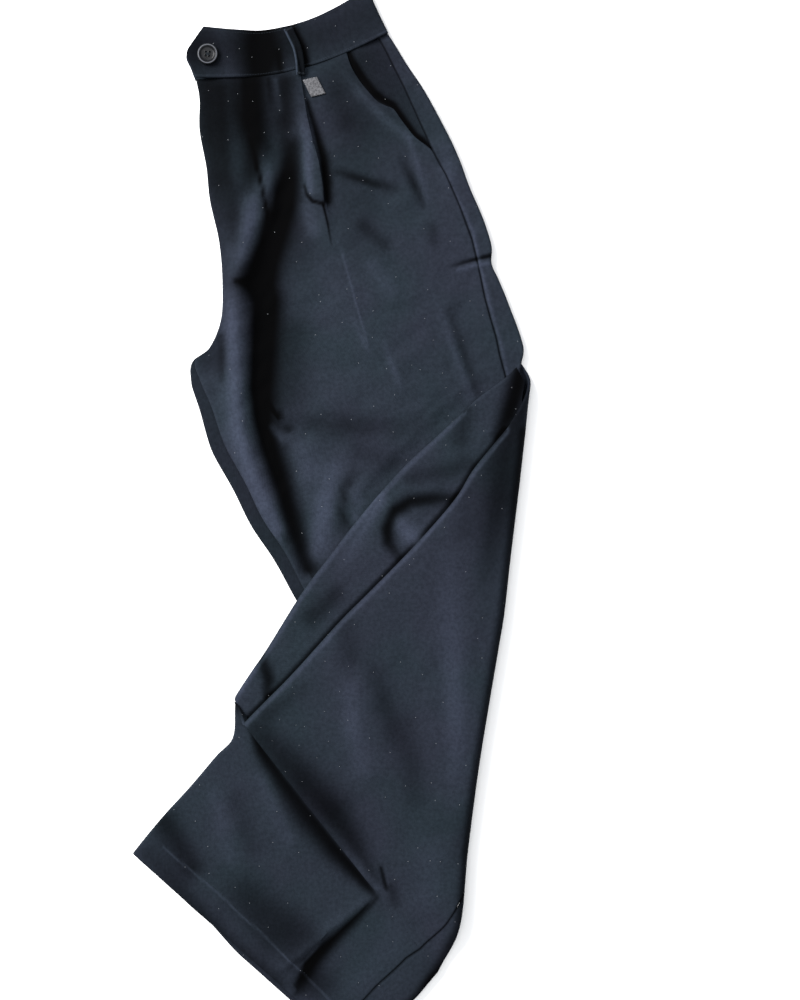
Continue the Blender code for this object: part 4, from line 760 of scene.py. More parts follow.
def make_piece(name, shells, finish, nodes=()):
    """One mesh object from shells of points in millimetres, quads, cut lengths and painted shading:
    painted shade below 0 and painted highlight above 0, held as a mesh attribute.
    """
    before, points, quads, cuts, painted_shadings = 0, [], [], [], []
    for shell_points, shell_quads, cut, tone in shells:
        points.append(shell_points * MM + SHIFT)
        quads.append(turned_out(shell_points, shell_quads) + before)
        cuts.append(cut)
        painted_shadings.append(tone)
        before += len(shell_points)
    points, quads = np.vstack(points), np.vstack(quads)
    mesh = bpy.data.meshes.new(name)
    mesh.vertices.add(len(points))
    mesh.vertices.foreach_set("co", points.ravel())
    mesh.loops.add(quads.size)
    mesh.loops.foreach_set("vertex_index", quads.ravel().astype(np.int32))
    mesh.polygons.add(len(quads))
    mesh.polygons.foreach_set("loop_start", np.arange(0, quads.size, 4, dtype=np.int32))
    mesh.update(calc_edges=True)
    mesh.validate()
    used = np.empty(len(mesh.loops), np.int32)
    mesh.loops.foreach_get("vertex_index", used)
    layer = mesh.uv_layers.new(name="cut")
    layer.data.foreach_set("uv", np.vstack(cuts)[used].ravel())
    held = mesh.attributes.new("tone", "FLOAT", "POINT")
    held.data.foreach_set("value", np.concatenate(painted_shadings).astype(np.float32))
    mesh.shade_smooth()
    mesh.set_sharp_from_angle(angle=SHARP_ANGLE)
    mesh.materials.append(finish)
    made = bpy.data.objects.new(name, mesh)
    bpy.context.scene.collection.objects.link(made)
    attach(made, "root")
    if nodes:
        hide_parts(*nodes)
    return made


def wall_shell(outer, inner, tone=0.0):
    """A shell between two grids, with the outer one's cut lengths on both faces."""
    u, v = cut_lengths(outer)
    cut = np.stack([u, v], -1).reshape(-1, 2)
    tone = np.broadcast_to(tone, outer.shape[:2]).ravel()
    points = np.vstack([outer.reshape(-1, 3), inner.reshape(-1, 3)])
    return points, wall_faces(*outer.shape[:2]), np.vstack([cut, cut]), np.tile(tone, 2)


def cloth_piece(name, outer, nodes, tone=0.0, thick=None, up=1.0):
    """A sheet of cloth from its outer face and its thickness, both in millimetres."""
    if thick is None:
        thick = garment().cloth_thick / MM
    thick = np.broadcast_to(np.asarray(thick, float), outer.shape[:2])
    inner = outer - face_normals(outer, up) * thick[..., None]
    shell = wall_shell(outer, inner, np.clip(tone, *PAINTED_SHADING_RANGE))
    made = make_piece(name, [shell], cloth_material(), nodes)
    width, length, area = flat_cut(outer)
    print(name, "flat", round(width, 3), round(length, 3), "area", round(area, 4))


def hidden_sheet(name, grids, nodes, tone):
    """A sheet of flat layers in a row, of which only the edges show."""
    shells = [wall_shell(top, bottom, tone) for top, bottom in grids]
    made = make_piece(name, shells, cloth_material(), nodes)
    cuts = np.array([flat_cut(top) for top, _ in grids])


def slab_grids(sections, first, last, low, high, count, round_by):
    """Top and bottom of a flat layer from first to last along its sections, with round edges."""
    t = eased(count)
    inset = first[:, None] * (1 - t) + last[:, None] * t
    x, y = sections.plan(inset)
    edge = np.minimum(inset - first[:, None], last[:, None] - inset)
    edge = np.clip(edge / round_by, 0.0, 1)
    bulge = np.sqrt(1 - (1 - edge) ** 2) * 0.985 + 0.015
    top, bottom = high(x, y), low(x, y)
    middle, half = (top + bottom) / 2, (top - bottom) / 2
    return (np.stack([x, y, middle + half * bulge], -1), np.stack([x, y, middle - half * bulge], -1))


class Value:
    """A number's socket in a material, which adds its own Math nodes when used in a sum."""

    def __init__(self, shader, socket):
        self.shader, self.socket = shader, socket

    def math(self, operation, *others):
        settings = {"operation": operation}
        values = [other.socket if isinstance(other, Value) else other for other in others]
        return Value(self.shader, self.shader.node("ShaderNodeMath", settings,
                                                   {0: self.socket, **dict(enumerate(values, 1))}, 0))

    def __add__(self, other):
        return self.math("ADD", other)

    __radd__ = __add__

    def __mul__(self, other):
        return self.math("MULTIPLY", other)

    def __sub__(self, other):
        return self.math("SUBTRACT", other)

    def __rsub__(self, other):
        return (self * -1.0) + other

    def __lt__(self, other):
        return self.math("LESS_THAN", other)

    def __gt__(self, other):
        return self.math("GREATER_THAN", other)

    def sine(self):
        return self.math("SINE")

    def clamped(self):
        return self.math("MINIMUM", 1.0).math("MAXIMUM", 0.0)


class Finish:
    """A material being built: its principled shader, and one way to add any other node."""

    def __init__(self, name, roughness, specular):
        self.material = bpy.data.materials.new(name)
        self.material.use_nodes = True
        self.tree = self.material.node_tree
        self.shader = self.tree.nodes["Principled BSDF"]
        self.fix({"Roughness": roughness, "Specular IOR Level": specular})
        self.place = self.node("ShaderNodeTexCoord", output=3)

    def fix(self, values):
        """Sets sockets of the principled shader to fixed values."""
        for socket, value in values.items():
            self.shader.inputs[socket].default_value = value

    def node(self, kind, settings=None, sockets=None, output=0):
        """Adds a node with its settings, and links or sets its sockets; gives one output."""
        made = self.tree.nodes.new(kind)
        for key, value in (settings or {}).items():
            setattr(made, key, value)
        for key, value in (sockets or {}).items():
            if isinstance(value, Value):
                value = value.socket
            if isinstance(value, bpy.types.NodeSocket):
                self.tree.links.new(value, made.inputs[key])
            else:
                made.inputs[key].default_value = value
        return made.outputs[output]

    def value(self, *args, **kwargs):
        return Value(self, self.node(*args, **kwargs))

    def noise(self, scale, detail, **others):
        """Soft noise over the object, about 0.5."""
        sockets = {"Vector": self.place, "Scale": scale, "Detail": detail, **others}
        return self.value("ShaderNodeTexNoise", None, sockets)

    def tone(self):
        """The painted shading held by the mesh: below 0 painted shade, darker; above 0 painted
        highlight, nearer the ridge's highlight colour.
        """
        return self.value("ShaderNodeAttribute", {"attribute_name": "tone"}, output=2)

    def cut(self):
        """Lengths along the cloth: the socket that holds both, across, and down."""
        both = self.node("ShaderNodeUVMap", {"uv_map": "cut"})
        parts = self.node("ShaderNodeSeparateXYZ", None, {0: both}).node.outputs
        return both, Value(self, parts[0]), Value(self, parts[1])

    def mix(self, share, first, second):
        """Colours mixed from first to second by a share."""
        return self.node("ShaderNodeMix", {"data_type": "RGBA"}, {0: share, 6: first, 7: second}, 2)

    def feed(self, socket, source):
        if isinstance(source, Value):
            source = source.socket
        self.tree.links.new(source, self.shader.inputs[socket])

    def bump(self, height, strength, distance):
        self.feed("Normal", self.node("ShaderNodeBump", None, {
            "Height": height, "Strength": strength, "Distance": distance}))


def garment():
    """The settings shown in the sidebar."""
    return bpy.context.scene.laid_trousers


def colour(name):
    """A colour of the settings, with full alpha."""
    return (*getattr(garment(), name), 1.0)


def cloth_material():
    """Dark wool suiting: a fine twill, slightly mottled, with painted highlights on ridges, painted
    shade in hollows and creases, and lint.
    """
    found = bpy.data.materials.get("dark_suiting")
    if found:
        return found
    made = Finish("dark_suiting", 0.85, 0.02)
    cut, u, v = made.cut()
    turn = 2 * math.pi / (garment().weave_pitch / MM)
    warp = (u * turn).sine()
    twill = ((u + v) * (turn * 0.5)).sine()
    weave = warp * (v * turn).sine() * 0.5 + twill * 0.5
    mottle = made.noise(330.0, 5.0, Roughness=0.6)
    broad = made.noise(14.0, 2.0)
    fibre = made.noise(900.0, 2.0)
    tone = made.tone()
    body = made.mix((broad * 3.2 - 1.1).clamped(), colour("cloth_colour"), colour("cloth_cast"))
    # Painted highlight: a positive painted shading moves the colour towards the ridge's highlight colour
    lit = made.mix(tone.clamped(), body, colour("ridge_highlight_colour"))
    # Painted shade: a negative painted shading darkens the colour towards the hollow colour
    kept = (tone + 1.0).clamped().math("POWER", 2.2)
    deep = made.mix(1.0 - kept, lit, colour("hollow_colour"))
    grain = made.mix((mottle * 3.0 - 1.0).clamped() * 0.30, deep, colour("hollow_colour"))
    specks = made.node("ShaderNodeTexVoronoi", {"voronoi_dimensions": "2D"},
                       {"Vector": cut, "Scale": 0.045, "Randomness": 1.0})
    chosen = made.value("ShaderNodeSeparateColor", None, {0: specks.node.outputs["Color"]})
    lint = (Value(made, specks) < 0.014) * (chosen > 0.5)
    made.feed("Base Color", made.mix(lint * 0.4, grain, colour("lint_colour")))
    made.feed("Roughness", 0.84 - weave * 0.05 - tone.clamped() * 0.12)
    made.bump(weave * 0.6 + mottle * 1.2 + fibre * 0.8, 0.35, 0.00022)
    made.fix({"Sheen Weight": 0.015, "Sheen Roughness": 0.45, "Sheen Tint": (0.45, 0.52, 0.72, 1.0)})
    return made.material


def thread_material():
    """Sewing thread: a twist of two plies along each stitch."""
    made = Finish("sewing_thread", 0.7, 0.05)
    ply = made.noise(2400.0, 1.0)
    made.feed("Base Color", made.mix((ply * 1.6 - 0.3).clamped(), colour("thread_colour"),
                                     colour("hollow_colour")))
    made.bump(ply, 0.4, 0.0001)
    return made.material


def button_material():
    """Dark polished resin with a faint cloudy figure and a painted highlight on its rim."""
    made = Finish("button_resin", 0.3, 0.1)
    cloud = made.noise(260.0, 4.0, Distortion=1.2)
    scuff = made.noise(1500.0, 3.0)
    body = made.mix((cloud * 2.4 - 0.7).clamped(), colour("button_colour"), colour("button_cloud"))
    # Painted highlight: the rim's ring is mixed towards the lighter rim colour
    made.feed("Base Color", made.mix(made.tone().clamped(), body, colour("button_rim_highlight")))
    made.feed("Roughness", 0.22 + scuff * 0.24)
    made.bump(scuff, 0.12, 0.0001)
    made.fix({"Coat Weight": 0.05, "Coat Roughness": 0.12})
    return made.material


def tab_material():
    """Coarse plain weave of light and dark grey yarn, left bare."""
    made = Finish("grey_woven_tape", 0.75, 0.3)
    _, u, v = made.cut()
    turn = 2 * math.pi / TAPE_PITCH
    weave = (u * turn).sine() * (v * turn).sine()
    yarn = made.noise(700.0, 3.0)
    share = (weave * 0.38 + yarn * 2.8 - 0.85).clamped()
    made.feed("Base Color", made.mix(share, colour("tab_dark"), colour("tab_colour")))
    made.bump(weave * 0.8 + yarn, 0.7, 0.0003)
    return made.material


def floor_material():
    """Pale, almost even studio ground."""
    made = Finish("pale_ground", 0.9, 0.1)
    haze = (made.noise(3.0, 2.0) * 0.5).clamped()
    made.feed("Base Color", made.mix(haze, colour("ground_colour"), (0.9, 0.9, 0.9, 1.0)))
    return made.material


def settle(points, grids, clear):
    """Heights for points of a plan: the top of the nearest grid point, and a little more."""
    top = np.vstack([grid.reshape(-1, 3) for grid in grids])
    away = ((points[:, None, :2] - top[None, :, :2]) ** 2).sum(-1)
    near = np.argsort(away, axis=1)[:, :4]
    return np.column_stack([points[:, :2], top[near, 2].mean(1) + clear])


def resampled(line, spacing):
    """Points at an even spacing along a line, and the direction at each."""
    fine = smooth(line, 40 * len(line))
    run = np.concatenate([[0], np.cumsum(np.linalg.norm(np.diff(fine, axis=0), axis=1))])
    at = np.arange(spacing / 2, run[-1], spacing)
    points = np.stack([np.interp(at, run, fine[:, k]) for k in range(fine.shape[1])], -1)
    ahead = np.gradient(points, axis=0)
    return points, unit(ahead)


def stitch_shells(points, ahead, length, width):
    """One slim closed stitch at every point: two rings of four and two ends, all as quads."""
    along = np.array((-0.5, -0.32, 0.32, 0.5)) * length
    swell = np.array((0.15, 1.0, 1.0, 0.15)) * width / 2
    side = np.stack([-ahead[:, 1], ahead[:, 0], np.zeros(len(ahead))], -1)
    up = np.array((0.0, 0.0, 1.0))
    rings = []
    for a, r in zip(along, swell):
        foot = points + ahead * a
        rings += [foot + side * r, foot + up * r * 0.7, foot - side * r, foot - up * r * 0.7]
    shape = np.stack(rings, axis=1)
    ring = np.arange(4)
    after = (ring + 1) % 4
    quads = [np.stack([ring + 4 * k, after + 4 * k, after + 4 * k + 4, ring + 4 * k + 4], -1)
             for k in range(3)]
    quads += [np.array([[3, 2, 1, 0]]), np.array([[12, 13, 14, 15]])]
    quads = np.vstack(quads)
    every = quads[None] + 16 * np.arange(len(points))[:, None, None]
    flat = shape.reshape(-1, 3)
    return flat, every.reshape(-1, 4), np.zeros((len(flat), 2)), np.zeros(len(flat))


def thigh_table(places):
    """Sections of the thigh, with one more row that runs on to the waistband's edge."""
    tucked = np.array([(-118.1, 385.0, 49.45, 424.6, -13)], float)
    return Sections(np.vstack([tucked, read_table(THIGH_SECTIONS, places)]))


def edge_radius(sections, at_end):
    """Half the height of the left leg's rolled edge, settled by repeating."""
    radius = np.full(len(sections.length), 2.3)
    for _ in range(8):
        inset = (sections.length - radius if at_end else radius)[:, None]
        radius = (thigh_height(*sections.plan(inset))[:, 0] - LEG_TUBE - GAP) / 2
    kernel = np.ones(5) / 5
    return np.convolve(np.pad(radius, 2, mode="edge"), kernel, mode="valid")


def thigh_marks(sections):
    """Distances along every section at which the edges, folds and seams are met."""
    left, right = edge_radius(sections, False), edge_radius(sections, True)
    start, end = sections.start, sections.end
    seam = np.minimum(crossings(start, end, SIDE_SEAM), sections.length - right - 3)
    mouth_line = POCKET_MOUTH + SIDE_SEAM[3:]
    mouth = np.minimum(crossings(start, end, mouth_line), seam)
    valley = crossings(start, end, VALLEY)
    pleat = np.clip(crossings(start, end, OUTER_PLEAT), valley + 8, seam - 20)
    return left, valley, pleat, mouth, seam, right


def waist_sink(places):
    """Depth by which each row is drawn down into the waist seam, a bell of its distance from it."""
    return WAIST_SINK * bell(places * SECTION_STEP, 0, SINK_REACH)[:, None]


def thigh_painted_shading(outer):
    """Sum of the creases' painted shade and painted highlights, kept in range."""
    return np.clip(bells(outer[..., 0], outer[..., 1], THIGH_CREASES, 5), *PAINTED_SHADING_RANGE)


class TROUSERS_OT_left_thigh(bpy.types.Operator):
    """Left front, left back strip and pocket facing, from the waist seam to the knee"""

    bl_idname = "trousers.left_thigh"
    bl_label = "Left thigh"

    def execute(self, context):
        places = np.linspace(0, len(THIGH_SECTIONS) - 1, THIGH_ROWS)
        sections = thigh_table(places)
        left, valley, pleat, mouth, seam, right = thigh_marks(sections)
        sink = waist_sink(np.concatenate([[0.0], places]))

        def height(x, y):
            return thigh_height(x, y) - sink

        marks = (left, valley - 13, valley + 13, pleat - 6, pleat + 4, mouth - 4, mouth - GAP / 2)
        flat = columns(marks, (18, 22, 12, 24, 44, 8))
        outer = rolled_sheet(sections, flat, height, left=(left, 5.0))
        self.lean_pleat(outer, sections)
        away, _ = beside(outer[..., 0], outer[..., 1], POCKET_MOUTH + SIDE_SEAM[3:])
        outer[..., 2] -= 0.55 * bell(away, -0.2, 0.7)
        # Painted shade along the pocket's mouth
        tone = thigh_painted_shading(outer) - 0.5 * bell(away, -0.1, GROOVE_REACH)
        cloth_piece("left_front_cloth", outer, ("left_front",), tone)
        self.back_strip(sections, height, seam, right)
        self.pocket(sections, mouth, seam, sink)
        return {"FINISHED"}

    def lean_pleat(self, outer, sections):
        """Leans the outer pleat's edge over its own foot, so that the cloth lies on itself."""
        away, place = beside(outer[..., 0], outer[..., 1], OUTER_PLEAT)
        depth = np.interp(place, np.arange(len(PLEAT_DEPTH)), PLEAT_DEPTH)
        lean = depth * (1.7 * bell(away, -0.7, 1.7) - bell(away, 1.7, 0.9))
        outer[..., 0] += sections.run[:, :1] * lean
        outer[..., 1] += sections.run[:, 1:] * lean

    def back_strip(self, sections, height, seam, right):
        """The left back panel from the side seam to the hip's rolled edge."""
        flat = columns((seam + GAP / 2, seam + 3, sections.length - right), (6, 16))
        outer = rolled_sheet(sections, flat, height, right=(right, 9.0))
        away, _ = beside(outer[..., 0], outer[..., 1], SIDE_SEAM)
        outer[..., 2] -= np.where(outer[..., 2] > 7, STITCH_GROOVE * bell(away, 0, 0.7), 0)
        # Painted shade along the side seam
        tone = thigh_painted_shading(outer) - 0.45 * bell(away, 0, GROOVE_REACH)
        cloth_piece("left_back_cloth", outer, ("left_back",), tone)

    def pocket(self, sections, mouth, seam, sink):
        """The facing between the pocket's mouth and the side seam, a step below the front."""
        keep = np.cumprod(seam - mouth > 0.9).astype(bool)
        some = Sections(np.hstack([sections.start, sections.end, sections.sag[:, None]])[keep])
        mouth, seam, sink = mouth[keep], seam[keep], sink[keep]
        flat = columns((mouth - 5.0, mouth + 0.6, seam - GAP / 2), (4, 14))
        outer = rolled_sheet(some, flat, lambda x, y: thigh_height(x, y) - POCKET_DEPTH - sink)
        away, _ = beside(outer[..., 0], outer[..., 1], POCKET_MOUTH)
        # Painted shade along the pocket's mouth, and all over the facing, which lies a step below the
        # front
        tone = thigh_painted_shading(outer) - 0.75 * bell(away, 0, 3.2) - 0.15
        cloth_piece("pocket_facing_cloth", outer, ("pocket_facing",), tone,
                    thick=1.0)


class TROUSERS_OT_under_layers(bpy.types.Operator):
    """Right leg and the left leg's lower layer, which show only at their edges"""

    bl_idname = "trousers.under_layers"
    bl_label = "Layers below"

    def execute(self, context):
        last = len(THIGH_SECTIONS) - 1
        places = np.concatenate([np.linspace(0.25, last, 120), np.linspace(last, last + 4, 40)[1:]])
        above = read_table(THIGH_SECTIONS, places[:120])
        below = read_table(THIGH_SECTIONS[-1:] + COVERED_SECTIONS, places[120:] - last)
        sections = Sections(np.vstack([above, below]))
        past = np.array(UNDER_EDGE, float)
        under = np.interp(places, past[:, 0], past[:, 1])
        right_in = sections.length - FOLD_CLEARANCE * step((places - 12.0) / 2.2) - 0.8
        lift = 1.5 * step((places - 13.5) / 3.0)[:, None]
        layers = (
            # name, bottom, top, drawn in by
            ("right_front_cloth", 0.0, 2.15, 0.6),
            ("right_leg_cloth", 2.25, LEG_TUBE, 0.0),
        )
        for name, low, high, inward in layers:
            grids = slab_grids(
                sections, -under + inward, right_in - inward,
                lambda x, y: np.maximum(low, lift) + 0 * x,
                lambda x, y: np.maximum(high, lift + 0.5) + 0.25 * undulation(x, y, 5) * (low > 1),
                50, 1.1)
            # Painted shade: the layers below are darkened
            hidden_sheet(name, [grids], ("inner_thigh",), -0.2)
        first = np.minimum(np.full(len(places), 12.0), right_in / 2 - 2)
        grids = slab_grids(
            sections, first, right_in - 14.5, lambda x, y: LEG_TUBE + 0.35 + 0 * x,
            lambda x, y: LEG_TUBE + 1.5 + 0 * x, 40, 0.6)
        # Painted shade: the layer below is darkened
        hidden_sheet("left_back_under", [grids], ("inner_thigh",), -0.3)
        return {"FINISHED"}


def edge_drop(distance, radius):
    """Height lost at a distance from a rounded edge."""
    d = np.clip(distance / radius, 0, 1)
    return radius * (1 - np.sqrt(np.maximum(1 - (1 - d) ** 2, 0)))


def waist_face(x, y):
    """Top of the waistband with its creases and small waves."""
    fine = fold_height(x, y, WAIST_CREASES) + 0.35 * undulation(x, y, 4)
    return waist_height(x, y) + fine


class TROUSERS_OT_waistband(bpy.types.Operator):
    """Both halves of the waistband and the hidden back layers, with the top stitching"""

    bl_idname = "trousers.waistband"
    bl_label = "Waistband"

    def execute(self, context):
        rows = read_table(WAIST_END, eased(BAND_ROWS) * (len(WAIST_END) - 1))
        down = np.concatenate([[0], np.cumsum(np.linalg.norm(np.diff(rows[:, :2], axis=0), axis=1))])
        free = np.minimum(down, down[-1] - down)[:, None]
        radius = BAND_WALL + 0.4
        outer, thick = self.half(rows, radius, free, (9, 120), waist_face)
        # Painted highlight along the lower edge, next to the waist seam
        seam_light = 0.22 * bell(down[-1] - down, 2.2, 0.7)[:, None]
        tone = np.clip(bells(outer[..., 0], outer[..., 1], WAIST_CREASES, 5) + seam_light, -0.9, 0.6)
        cloth_piece("waistband_left_cloth", outer, ("waistband_left",), tone,
                    thick=thick)
        low = radius - 0.07
        below, thick = self.half(rows - np.array((1.5, 0, 0, 0, 0)), low, free, (6, 40),
                                 lambda x, y: 2 * low + 0 * x)
        below[..., 2] = 2 * low - below[..., 2]
        # Painted shade: the lower half is a little darker
        cloth_piece("waistband_right_cloth", below, ("waistband_right",), -0.1, thick=thick,
                    up=-1.0)
        self.middle_layers(Sections(rows[10:-11]), radius)
        self.stitching(outer)
        return {"FINISHED"}

    def half(self, rows, radius, free, counts, height):
        """Outer face of one half and its wall, which thins where the edges are rounded."""
        sections = Sections(rows)
        none = np.zeros(len(rows))
        flat = columns((none, none + 3, sections.length - radius), counts)
        drop = edge_drop(np.minimum(free, flat), 1.0)
        outer = rolled_sheet(sections, flat, height, right=(radius, 7.0), drop=drop)
        rest = np.repeat(drop[:, -1:], outer.shape[1] - drop.shape[1], 1)
        return outer, BAND_WALL - 2 * np.hstack([drop, rest])

    def middle_layers(self, sections, radius):
        """The two back layers between the halves: one flat, one up to the upper half's wall."""
        right = sections.length - radius - 8.4
        layers = (
            # distance from the end, bottom, top
            (4.6, 2.6, lambda x, y: 4.7 + 0 * x),
            (5.0, 4.9, lambda x, y: waist_face(x, y) - BAND_WALL - 0.35),
        )
        shells = []
        for first, low, high in layers:
            top, bottom = slab_grids(sections, np.full(len(right), first), right,
                                     lambda x, y: low + 0 * x, high, 50, 1.0)
            # Painted shade on the hidden back layers
            shells.append(wall_shell(top, bottom, -0.2))
        made = make_piece("waistband_back_cloth", shells, cloth_material(),
                          ("waistband_back",))
        width, length, area = flat_cut(top)

    def stitching(self, outer):
        """A row of stitches near the upper edge and one near the waist seam."""
        shells = []
        for share in (0.075, 0.955):
            row = int(np.argmin(abs(eased(BAND_ROWS) - share)))
            points, ahead = resampled(outer[row, 4:-16:4], 2.3)
            points[:, 2] += 0.1
            shells.append(stitch_shells(points, ahead, 1.7, 0.42))
        make_piece("waistband_stitches", shells, thread_material())


class Stations:
    """Rows of the turned-back right leg, from the fold inward, in one table of these columns:
    fold x and y, inward x and y, length, lift, radius, start, last length of flat cloth, edge
    radius and lip. Past is true below the tuck."""

    def __init__(self, table, past):
        self.table, self.past = table, past
        self.fold, self.inward = table[:, 0:2], table[:, 2:4]
        self.length, self.lift, self.radius, self.start, self.last, self.edge, self.lip = table[:, 4:].T
        self.sections = Sections(np.hstack([self.fold, self.fold + self.inward * self.length[:, None]]))

    def part(self, keep):
        """Some of the rows."""
        return Stations(self.table[keep], self.past[keep])


def calf_stations():
    """Corner rows, a bridge of six, and sections above and below the tuck; the tuck's row."""
    corner = smooth(FOLD_CORNER, 34)
    zero = np.zeros(len(corner))
    tables = [np.column_stack([
        corner[:, :2], np.tile(CORNER_INWARD, (len(corner), 1)), zero + 30, zero + 0.05,
        zero + CORNER_RADIUS, zero, corner[:, 2] - corner[:, 3], corner[:, 3:5]])]
    seam = np.array(CALF_INSEAM, float)
    parts = (
        # table, last row, count, past the tuck
        (CALF_SECTIONS, TUCK_ROW, 176, False),
        (HEM_SECTIONS, len(HEM_SECTIONS) - 1, 84, True),
    )
    for rows, end, count, past in parts:
        places = np.linspace(0, end, count)
        row = read_table(rows, places)
        fold = row[:, 2:4]
        length = np.linalg.norm(row[:, :2] - fold, axis=1)
        inward = (row[:, :2] - fold) / length[:, None]
        x, y = (fold + inward * 6.0).T
        top = calf_height(x, y, 1 - 6.0 / length, past)
        lift = (rest_height(x, y) + HEM_STACK / 2 + 0.2) * on_surface(fold)
        radius = (top - lift) / 2
        place = places + TUCK_ROW * past
        start = np.interp(place, seam[:, 0], seam[:, 1])
        start += (math.pi - 1) * radius * step((place - INSEAM_CLIMB[0]) / INSEAM_CLIMB[1])
        last = math.pi * radius + length - EDGE_RADIUS - radius
        edge = np.full((count, 2), (EDGE_RADIUS, EDGE_LIP))
        tables.append(np.column_stack([fold, inward, length, lift, radius, start, last, edge]))
    t = np.linspace(0, 1, 8)[1:-1, None]
    bridge = tables[0][-1] * (1 - t) + tables[1][0] * t
    table = np.vstack([tables[0], bridge, tables[1], tables[2]])
    tuck = len(table) - len(tables[2])
    return Stations(table, np.arange(len(table)) >= tuck), tuck


def calf_grid(leg, s):
    """Points at lengths of cloth s from the fold's underside: half a circle round the fold,
    then the leg's own height over the sections, reached a blend's length past the circle."""
    length, lift, radius = leg.length[:, None], leg.lift[:, None], leg.radius[:, None]
    past = leg.past[:, None]
    half = math.pi * radius
    angle = -math.pi / 2 + np.minimum(s, half) / radius
    inset = np.where(s <= half, radius - radius * np.cos(angle), radius + s - half)
    plan = leg.fold[:, None] + leg.inward[:, None] * inset[..., None]
    x, y = plan[..., 0], plan[..., 1]
    top = lift + 2 * radius
    flat = calf_height(x, y, 1 - inset / length, past)
    share = step((inset - radius) / FORM_BLEND)
    z = np.where(s <= half, lift + radius + radius * np.sin(angle), top + (flat - top) * share)
    z = z + np.where(s > half, calf_fine(x, y, past) * step((inset - radius) / CREASE_BLEND), 0)
    return np.stack([x, y, z], -1)


def rolled_end(leg, edge):
    """Outer face of the outseam's edge, turned under: half a circle and a flat lip."""
    turn, lip = leg.edge[:, None, None], leg.lip[:, None, None]
    angle = np.minimum(leg.last / leg.radius - math.pi / 2, math.pi / 2)[:, None]
    along = np.hstack([leg.inward * np.sin(angle), np.cos(angle)])[:, None]
    out = np.hstack([-leg.inward * np.cos(angle), np.sin(angle)])[:, None]
    centre = edge[:, None] - out * turn
    bend = np.radians(np.linspace(90, -90, END_TURNS + 1)[1:])[None, :, None]
    round_part = centre + (along * np.cos(bend) + out * np.sin(bend)) * turn
    lips = centre - out * turn - along * lip * np.array((0.5, 1.0))[None, :, None]
    return np.concatenate([round_part, lips], axis=1)


def calf_painted_shading(points, past):
    """Painted shading of the creases on either side of the tuck, with a painted highlight along the
    outseam's edge and painted shade along the fold."""
    x, y = points[..., 0], points[..., 1]
    above, below = bells(x, y, CALF_CREASES, 5), bells(x, y, HEM_CREASES, 5)
    edge, _ = beside(x, y, CALF_LINE)
    turned, _ = beside(x, y, FOLD_LINE)
    share = below_tuck(x, y, past[:, None])
    lit = 0.5 * bell(edge, 2.6, 1.6) * (y < 110)
    dark = 0.5 * bell(np.minimum(turned + 1, 0), 0, 4.5)
    return np.clip((above + lit) * (1 - share) + below * share - dark, *PAINTED_SHADING_RANGE)


